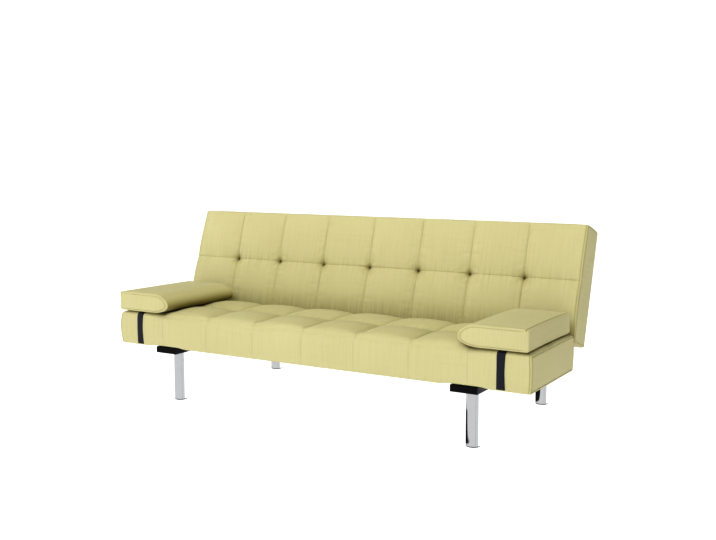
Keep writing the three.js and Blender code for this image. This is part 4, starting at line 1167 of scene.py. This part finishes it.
# %% Turning an outline
def turned(outline, count, places, axis=(0, 0, 1)):
    """Turns an outline of (radius, height) about an axis at each place, closed at both poles."""
    outline = np.asarray(outline, float)
    axis = np.asarray(axis, float) / np.linalg.norm(axis)
    first = np.cross(axis, (0, 1, 0) if abs(axis[1]) < 0.9 else (1, 0, 0))
    first /= np.linalg.norm(first)
    second = np.cross(axis, first)
    angle = np.arange(count) / count * TURN
    spoke = np.cos(angle)[:, None] * first + np.sin(angle)[:, None] * second
    rings = outline[1:-1, 0, None, None] * spoke[None] + outline[1:-1, 1, None, None] * axis
    one = np.concatenate([rings.reshape(-1, 3), outline[[0, -1], 1, None] * axis])
    rows = len(outline) - 2
    quads = grid_faces(rows, count)[:, [0, 3, 2, 1]]
    fans = pole_faces(rows, count)[:, [1, 0, 2]]
    places = np.asarray(places, float)
    points = (places[:, None, :] + one[None]).reshape(-1, 3)
    shift = np.arange(len(places))[:, None, None] * len(one)
    return points, [(quads[None] + shift).reshape(-1, 4), (fans[None] + shift).reshape(-1, 3)]


def dome(radius, height, steps=6, lip=0.25):
    """The outline of a domed head: flat below, a short upright lip, then a quarter of an ellipse."""
    angle = np.linspace(0, np.pi / 2, steps + 1)
    arc = np.column_stack([radius * np.cos(angle), height * (lip + (1 - lip) * np.sin(angle))])
    return np.concatenate([[(0, 0), (radius * 0.96, 0)], arc])


# %% [markdown]
# ## Covered buttons
#
# Each button is a metal shell covered with linen, 15 mm across, pulled deep into its pit by a cord
# through the pad. The pit hides it from most of the light, so it looks dark, and that shade is painted
# into its cover, which is given a much darker linen here than the lime cloth round it.

# %% Buttons
BUTTON_RADIUS, BUTTON_HEIGHT = 0.0078, 0.0052
BUTTON_SUNK = 0.0080


def buttons_piece():
    """A dome at the bottom of each pit."""
    lying = np.column_stack([SEAMS, 0 * SEAMS + BACK_SEAM, 0 * SEAMS + BACK_SIZE[2] - BUTTON_SUNK])
    forward = (0, -math.cos(LEAN), math.sin(LEAN))
    points, faces = turned(dome(BUTTON_RADIUS, BUTTON_HEIGHT, 8), 28, lean_back(lying), forward)
    # The buttons get the linen with painted shade
    made = piece_from("covered_buttons", points, faces, SHADED_BUTTON_LINEN,
                      [points[part][:, :, [0, 2]] for part in faces], {"pull_and_fold_shade": np.zeros(len(points))})
    print("buttons:", len(lying))
    dress(made, "back", "button_fabric", *[f"tufting_button_{n}" for n in range(1, len(SEAMS) + 1)])


buttons_piece()

# %% [markdown]
# ## Arm cushions
#
# Each is a bolster with a section like a D: flat below, a square outer side and a round nose towards
# the seat. A welt runs round the front and rear ends, and a seam lies on the top, just inside the outer
# edge. The surface is that section carried along the cushion's length. At each end it turns over a
# small radius and closes with a slightly domed panel. The left cushion lies a little askew.

# %% Arm cushion shape
ARM_WIDTH, ARM_THICK = 0.250, 0.076
ARM_EDGE = 9 * MM
ARM_TURN = 6 * MM
NOSE_REACH, NOSE_UNDER, NOSE_SHARE = 0.062, 0.070, 0.42
ARM_DOME = 6.5 * MM
ARM_ASKEW = {"left": (-6 * MM, 12 * MM), "right": (0, 0)}
ARM_BOX = [np.array(corner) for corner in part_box("arm_cushion_right")]
ARM_SHORTER = 10 * MM
ARM_LENGTH = ARM_BOX[1][1] - ARM_BOX[0][1] - ARM_SHORTER
ARC_POINTS = 40


def d_outline():
    """The section, anticlockwise from its lower outer corner: two corners, then two half noses."""
    def arc(centre, radii, first, last):
        angle = np.linspace(first, last, ARC_POINTS)
        out = np.column_stack([np.cos(angle) / radii[0], np.sin(angle) / radii[1]])
        out /= np.linalg.norm(out, axis=1)[:, None]
        x, z = centre[0] + radii[0] * np.cos(angle), centre[1] + radii[1] * np.sin(angle)
        return np.column_stack([x, z, out])
    nose = ARM_THICK * NOSE_SHARE
    right, top, edge = ARM_WIDTH, ARM_THICK, ARM_EDGE
    quarter = np.pi / 2
    return np.concatenate([
        arc((right - edge, edge), (edge, edge), -quarter, 0),
        arc((right - edge, top - edge), (edge, edge), 0, quarter),
        arc((NOSE_REACH, nose), (NOSE_REACH, top - nose), quarter, 2 * quarter),
        arc((NOSE_UNDER, nose), (NOSE_UNDER, nose), 2 * quarter, 3 * quarter)[1:]])


def arm_section():
    """Points and outward normals round the section, with more of them at the seam and the corners."""
    path = d_outline()
    loop = np.concatenate([path, path[:1]])
    run = np.concatenate([[0], np.cumsum(np.linalg.norm(np.diff(loop[:, :2], axis=0), axis=1))])
    to_corner = np.linalg.norm(path[:, :2] - (ARM_WIDTH - ARM_EDGE, ARM_THICK), axis=1)
    seam = run[np.argmin(to_corner)] + 1 * MM
    corners = [run[ARC_POINTS // 2], run[ARC_POINTS * 3 // 2]]
    near = np.concatenate([around([seam], SEAM_STEPS), around(corners, EDGE_STEPS[:5])])
    places = graded(0, run[-1], FACE_CELL, [seam], near)[:-1]
    points = np.column_stack([np.interp(places, run, loop[:, axis]) for axis in range(4)])
    return places, points[:, :2], points[:, 2:], seam


def arm_stations():
    """Rows along the cushion: (place, inset, shrink). The ends turn over a quarter circle, then close."""
    angle = np.radians([0, 15, 30, 45, 60, 75, 90])
    before = np.array([24, 18, 14, 12.4, 11.2, 10, 8.8, 7.6]) * MM
    turn = [(ARM_TURN * (1 - math.sin(a)), ARM_TURN * (1 - math.cos(a)), 1.0) for a in angle]
    close = [(0.0, ARM_TURN, k) for k in (0.985, 0.965, 0.94, 0.9, 0.84, 0.76, 0.64, 0.5, 0.34, 0.17)]
    middle = [(y, 0.0, 1.0) for y in np.linspace(0.03, ARM_LENGTH - 0.03, 45)]
    head = close[::-1] + turn[::-1] + [(y, 0.0, 1.0) for y in before[::-1]]
    tail = [(ARM_LENGTH - y, inset, shrink) for y, inset, shrink in head[::-1]]
    return np.array(head + middle + tail)


# %% Arm cushion surface
ARM_CROWN = 7 * MM
SIDE_DRAWN, NOSE_DRAWN = 3.5 * MM, 6 * MM
TOP_SEAM_DEPTH, TOP_SEAM_WIDTH = 2.6 * MM, 1.7 * MM
PANEL_HALF = 0.036


def arm_surface(askew):
    """The right cushion: its points, the painted shade at each, and the rows and places that they follow.

    The section is carried along the stations. To it come the crown, the drawn in side, the welts at the
    ends, the seam on the top and the domes of the end panels, each as a product of two curves.
    """
    places, section, normals, seam = arm_section()
    stations = arm_stations()
    centre = np.array([ARM_WIDTH / 2, ARM_THICK * 0.47])
    y, inset, shrink = stations.T
    ring = section[None] - normals[None] * inset[:, None, None]
    ring = centre + (ring - centre) * shrink[:, None, None]
    along = np.sin(np.pi * np.clip(y / ARM_LENGTH, 0, 1))[:, None]
    x, z = ring[..., 0], ring[..., 1]
    upper = np.clip(2 * z / ARM_THICK - 1, 0, 1)
    crown = ARM_CROWN * along ** 0.6 * upper * np.sin(np.pi * np.clip(x / ARM_WIDTH, 0, 1)) ** 0.7
    outer = np.clip(2 * x / ARM_WIDTH - 1, 0, 1) ** 4
    drawn = SIDE_DRAWN * along * outer + NOSE_DRAWN * np.clip(1 - x / 0.09, 0, 1) ** 2
    from_end = np.minimum(y, ARM_LENGTH - y)
    on_side = bell(from_end - 10 * MM, 1.6 * MM) * (shrink == 1) * (inset == 0)
    on_panel = bell((1 - shrink) * PANEL_HALF, 1.5 * MM) * (inset == ARM_TURN)
    ridge = bell(inset - 1.8 * MM, 2.2 * MM) * (inset > 0) * (shrink == 1)
    welted = 1 - ease(section[:, 0], ARM_WIDTH - 30 * MM, ARM_WIDTH - 8 * MM)
    sink = (-2.0 * MM * on_side + 0.8 * MM * ridge)[:, None] * welted
    reach = (ease(from_end, 0.0, 0.012) * (shrink == 1))[:, None]
    seam_line = -TOP_SEAM_DEPTH * bell(places - seam, TOP_SEAM_WIDTH)[None] * reach
    lift = (sink + seam_line)[..., None] * normals[None]
    u, w = np.abs(2 * x / ARM_WIDTH - 1), np.abs(2 * z / ARM_THICK - 1)
    dome_rise = ARM_DOME * (1 - np.minimum(u, 1) ** 3) * (1 - np.minimum(w, 1) ** 2.5)
    bulge = dome_rise * ((inset / ARM_TURN) ** 2)[:, None] - 1.8 * MM * on_panel[:, None] * welted
    level = y[:, None] + np.where(y < ARM_LENGTH / 2, -1, 1)[:, None] * bulge
    points = np.stack([x - drawn + lift[..., 0] - ARM_WIDTH, level, z + crown + lift[..., 1]], axis=2)
    poles = np.array([[centre[0] - ARM_WIDTH, end, centre[1]] for end in (-ARM_DOME, ARM_LENGTH + ARM_DOME)])
    points = np.concatenate([points.reshape(-1, 3), poles])
    points[:, 0] -= np.interp(points[:, 1], (0, ARM_LENGTH), askew)
    # Painted shade: a little along the sides, dark low under the nose where the cushion meets the seat, and
    # along the welts and the top seam
    under_nose = (1 - ease(x, 0.02, 0.09)) * (1 - ease(z, 0.2 * ARM_THICK, 0.85 * ARM_THICK))
    top_line = 1.6 * bell(places - seam, 2.4 * MM)[None] * (shrink == 1)[:, None]
    lines = np.minimum(np.maximum((on_side + on_panel)[:, None] * welted, top_line), 1.5)
    painted_shade = np.maximum((0.10 + 0.9 * under_nose) * (inset == 0)[:, None], 0.6 * lines)
    return points, np.append(painted_shade, [0, 0]), stations, places


def arm_cushion_piece(name, side):
    """Joins the points of one cushion, with the weave running round it and straight over its ends."""
    points, painted_shade, stations, places = arm_surface(ARM_ASKEW[name])
    y, inset, shrink = stations.T
    rows, count = len(stations), len(places)
    quads, fans = grid_faces(rows, count), pole_faces(rows, count)
    reach = np.cumsum(np.concatenate([[0], np.hypot(np.diff(y), np.diff(inset))]))
    side_uv = grid_uvs(places, np.append(places[1:], places[-1] + FACE_CELL), reach)
    cap = ((shrink[:-1] < 1) | (shrink[1:] < 1))[:, None].repeat(count, 1).ravel()
    side_uv[cap] = points[quads[cap]][:, :, [0, 2]]
    fan_uv = points[fans][:, :, [0, 2]]
    if side < 0:
        points[:, 0] *= -1
        quads, fans = quads[:, ::-1], fans[:, ::-1]
        side_uv, fan_uv = side_uv[:, ::-1], fan_uv[:, ::-1]
    points += [side * ARM_BOX[1][0], ARM_BOX[0][1] + ARM_SHORTER / 2, ARM_BOX[0][2]]
    # The painted shade goes with the cushion as a point attribute
    made = piece_from(f"arm_cushion_{name}_cover", points, [quads, fans], LINEN, [side_uv, fan_uv],
                      {"painted_shade": painted_shade})
    print("arm cushion faces:", len(quads) + len(fans))
    dress(made, f"arm_{name}", "lime_fabric", f"arm_cushion_{name}")


for name, side in (("left", -1), ("right", 1)):
    arm_cushion_piece(name, side)

# %% [markdown]
# ## Straps
#
# A band of black webbing holds each arm cushion to the seat. It lies tight round the seat, so its path
# is the seat's own formula, followed once round, and it narrows a little where it stretches over the
# front. The band's section is a flat bar with rounded edges.

# %% Straps
STRAP_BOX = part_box("arm_strap_right")
STRAP_X = (STRAP_BOX[0].x + STRAP_BOX[1].x) / 2
STRAP_HALF, STRAP_THICK, STRAP_GAP = 16 * MM, 1.5 * MM, 0.5 * MM
FRONT_NARROWING = 0.11
EDGE_CURL = 0.5 * MM

# The band's section, once round: shares of its half width and of its thickness
ACROSS_SHARES = np.array(
    [-1, -0.99, -0.96, -0.5, 0, 0.5, 0.96, 0.99, 1, 0.99, 0.96, 0.5, 0, -0.5, -0.96, -0.99])
LIFT_SHARES = np.array([0.5, 0.82, 1, 1, 1, 1, 1, 0.82, 0.5, 0.18, 0, 0, 0, 0, 0, 0.18])


def strap_path(x):
    """The seat's outline at x, as places and outward normals, closed: front, top, rear and underside."""
    depth, height = SEAT_SIZE[1:]
    rise = np.linspace(0, 1, 26)[:-1]
    run = np.linspace(0, 1, 61)[:-1]
    sides = [np.column_stack([0 * rise, rise * height]), np.column_stack([run * depth, 0 * run + height]),
             np.column_stack([0 * rise + depth, (1 - rise) * height]),
             np.column_stack([(1 - run) * depth, 0 * run])]
    loop = np.concatenate(sides)
    path = seat_form(np.column_stack([np.full(len(loop), x), loop]))[:, 1:]
    for _ in range(3):
        path = (np.roll(path, 1, axis=0) + 2 * path + np.roll(path, -1, axis=0)) / 4
    ahead = np.roll(path, -1, axis=0) - np.roll(path, 1, axis=0)
    normals = np.column_stack([-ahead[:, 1], ahead[:, 0]]) / np.linalg.norm(ahead, axis=1)[:, None]
    middle = path.mean(axis=0)
    normals *= np.sign(((path - middle) * normals).sum(axis=1).mean())
    on_front = np.concatenate([np.sin(np.pi * rise)] + [0 * run, 0 * rise, 0 * run])
    return path, normals, on_front


def strap_piece(name, side):
    """The band's section carried round the path, narrower and curled at its edges over the front."""
    path, normals, on_front = strap_path(STRAP_X)
    width = STRAP_HALF * (1 - FRONT_NARROWING * on_front)
    curl = EDGE_CURL * np.abs(ACROSS_SHARES) ** 2
    out = STRAP_GAP + STRAP_THICK * LIFT_SHARES[None] - curl[None] * on_front[:, None]
    x = side * (STRAP_X + ACROSS_SHARES[None] * width[:, None])
    yz = path[:, None] + normals[:, None] * out[..., None]
    points = np.concatenate([x[..., None], yz], axis=2).reshape(-1, 3)
    quads = grid_faces(len(path), len(ACROSS_SHARES), rows_close=True)
    steps = np.linalg.norm(np.diff(path, axis=0, append=path[:1]), axis=1)
    length = np.concatenate([[0], np.cumsum(steps)])
    u = ACROSS_SHARES * STRAP_HALF
    uvs = grid_uvs(u, np.roll(u, -1), length)
    if side < 0:
        quads, uvs = quads[:, ::-1], uvs[:, ::-1]
    made = piece_from(f"arm_strap_{name}_webbing", points, [quads], WEBBING, [uvs])
    print("strap round:", round(float(length[-1]), 3), "m")
    dress(made, f"arm_{name}", "black_webbing", f"arm_strap_{name}")


for name, side in (("left", -1), ("right", 1)):
    strap_piece(name, side)

# %% [markdown]
# ## Legs
#
# The legs are 52 mm steel tube with a 2 mm wall, chromed. They replace the faceted solids with smoothly
# turned ones, with a small radius at the foot and at the top, where chrome catches the light.

# %% Legs
TUBE_RADIUS, TUBE_BORE = 0.026, 0.024
TUBE_LOW, TUBE_TOP, CAP_UNDER = 0.0033, 0.2057, 0.2017
FOOT_ROUND, TOP_ROUND = 0.0010, 0.0006
STUD_RADIUS, STUD_TOP = 0.004, 0.2197


def leg_outline():
    """From under the top plate, down inside the tube, round its foot, up outside and up the stud."""
    angles = np.radians([0, 30, 60, 90])
    foot_middle, top_middle = TUBE_RADIUS - FOOT_ROUND, TUBE_RADIUS - TOP_ROUND
    foot = [(foot_middle + FOOT_ROUND * math.sin(a), TUBE_LOW + FOOT_ROUND * (1 - math.cos(a)))
            for a in angles]
    cap = [(top_middle + TOP_ROUND * math.cos(a), TUBE_TOP - TOP_ROUND + TOP_ROUND * math.sin(a))
           for a in angles]
    wall = [(TUBE_RADIUS, z) for z in np.linspace(0.02, 0.19, 5)]
    inside = [(0, CAP_UNDER), (TUBE_BORE, CAP_UNDER), (TUBE_BORE, TUBE_LOW)]
    return [*inside, *foot, *wall, *cap, (STUD_RADIUS, TUBE_TOP), (STUD_RADIUS, STUD_TOP), (0, STUD_TOP)]


for node in ("front_left", "front_right", "rear_left", "rear_right"):
    low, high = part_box(f"leg_{node}")
    points, faces = turned(leg_outline(), 96, [((low.x + high.x) / 2, (low.y + high.y) / 2, 0)])
    tube = piece_from(f"leg_{node}_tube", points, faces, CHROME, sharp=40)
    dress(tube, "base", "chrome", f"leg_{node}")
print("leg height:", round(high.z - low.z, 4))

# %% [markdown]
# ## Bolts and rivets
#
# Each hinge bracket sits on its rail with four dome headed bolts. Two bolts with shanks hold each seat
# arm to its board and two each back arm, and two flush rivets join the toothed quadrant to the seat arm.
# The bolts of one body and one kind are one piece, and their shanks fill the holes in the arms.

# %% Fasteners
FASTENER_SIDES = 20


def bolt_outline(shank, head, height, length):
    """A shank of some length below 0, and above it a flange and a dome with a shallow socket."""
    angles = np.radians([0, 20, 40, 55, 68])
    curve = [(head * math.cos(a), height * (0.35 + 0.65 * math.sin(a))) for a in angles]
    socket = [(head * 0.30, height * 0.92), (head * 0.28, height * 0.45)]
    return [(0, -length), (shank, -length), (shank, 0), (head, 0), *curve, *socket, (0, height * 0.42)]


def fasteners(name, body, outline, places, axis):
    """One zinc plated piece for all the places on the right hand side and their mirror images."""
    places = np.asarray(places, float)
    points, faces = [], []
    for side in (1, -1):
        way = (axis[0] * side, axis[1], axis[2])
        more, parts = turned(outline, FASTENER_SIDES, places * [side, 1, 1], way)
        faces.append([part + sum(map(len, points)) for part in parts])
        points.append(more)
    quads, fans = (np.concatenate([group[kind] for group in faces]) for kind in (0, 1))
    made = piece_from(name, np.concatenate(points), [quads, fans], ZINC, sharp=35)
    dress(made, body, "zinc_steel")
    print(name, len(places) * 2)


# %% Bolts of the brackets and the arms
PIN = np.array([0, PIVOT_Y, PIVOT_Z])
FOOT_BOLT = bolt_outline(1.8 * MM, 3.6 * MM, 2.4 * MM, 2.5 * MM)
ARM_BOLT = bolt_outline(3.9 * MM, 7 * MM, 3.2 * MM, 3.8 * MM)
FOOT_IN_X, FOOT_IN_Y, FOOT_THICK = 4.6 * MM, 7 * MM, 3 * MM
KNEE = (-6.5 * MM, -78.5 * MM)
SEAT_BOLTS, BACK_BOLTS = (0.150, 0.100), (0.135, 0.180)
BACK_BOLT_DEPTH, BACK_PLATE = 0.096, 4 * MM

low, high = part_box("hinge_bracket_right")
feet = [(x, y, low.z + FOOT_THICK) for x in (low.x + FOOT_IN_X, high.x - FOOT_IN_X)
        for y in (low.y + FOOT_IN_Y, high.y - FOOT_IN_Y)]
fasteners("bracket_bolts", "base", FOOT_BOLT, feet, (0, 0, 1))
seat_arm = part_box("seat_arm_right")
knee = PIN + [seat_arm[1].x, *KNEE]
fasteners("seat_arm_bolts", "seat", ARM_BOLT, [knee - [0, reach, 0] for reach in SEAT_BOLTS], (1, 0, 0))
lying = np.array([(0, up, BACK_SIZE[2] - BACK_BOLT_DEPTH) for up in BACK_BOLTS])
inner = [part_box("back_arm_right")[1].x - BACK_PLATE, 0, 0]
fasteners("back_arm_bolts", "back", ARM_BOLT, lean_back(lying) + inner, (-1, 0, 0))

# %% Rivets of the quadrants
RIVET_RING = 19 * MM
RIVET_ANGLES = (-75, -112)
RIVET = [(0, -0.1 * MM), (2.3 * MM, 0), (2.4 * MM, 0.2 * MM), (2.4 * MM, 8.3 * MM), (2.3 * MM, 8.5 * MM),
         (0, 8.6 * MM)]

spots = [PIN + [seat_arm[0].x, RIVET_RING * math.cos(a), RIVET_RING * math.sin(a)]
         for a in np.radians(RIVET_ANGLES)]
fasteners("quadrant_rivets", "seat", RIVET, spots, (1, 0, 0))

# %% [markdown]
# ## The cloth under the seat
#
# A sheet of felted cloth closes the seat from below. It is stapled to the boards all round and hangs
# through by a millimetre in the middle, clear of the rails.

# %% Dust cloth
CLOTH_SAG, SAG_REACH = 1.4 * MM, 0.55
CLOTH_CELL = 18 * MM
CLOTH_IN, CLOTH_UNDER = 0.0001, 0.0006


def dust_cloth_piece():
    """A thin sheet that sags by 1.4 mm times (1 - (x / 0.55)^2) sin(pi v) between its stapled edges."""
    low, high = (np.array(corner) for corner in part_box("seat_dust_cover"))
    xs = graded(low[0], high[0], CLOTH_CELL, [])
    ys = graded(low[1], high[1], CLOTH_CELL, [])
    layers = np.array([low[2] + CLOTH_IN, high[2] - CLOTH_UNDER])
    flat, faces, uvs = block_surface((xs, ys, layers), [])
    v = (flat[:, 1] - low[1]) / (high[1] - low[1])
    flat[:, 2] -= CLOTH_SAG * np.maximum(1 - (flat[:, 0] / SAG_REACH) ** 2, 0) * np.sin(np.pi * v)
    made = piece_from("seat_dust_cloth", flat, [faces], FELT, [uvs], sharp=40)
    dress(made, "seat", "dust_cloth", "seat_dust_cover")
    print("dust cloth faces:", len(faces))


dust_cloth_piece()

low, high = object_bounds()
overhang = np.maximum(np.subtract(CAD_LOW, low), np.subtract(high, CAD_HIGH))
print("largest overhang in mm:", round(float(overhang.max()) / MM, 1))
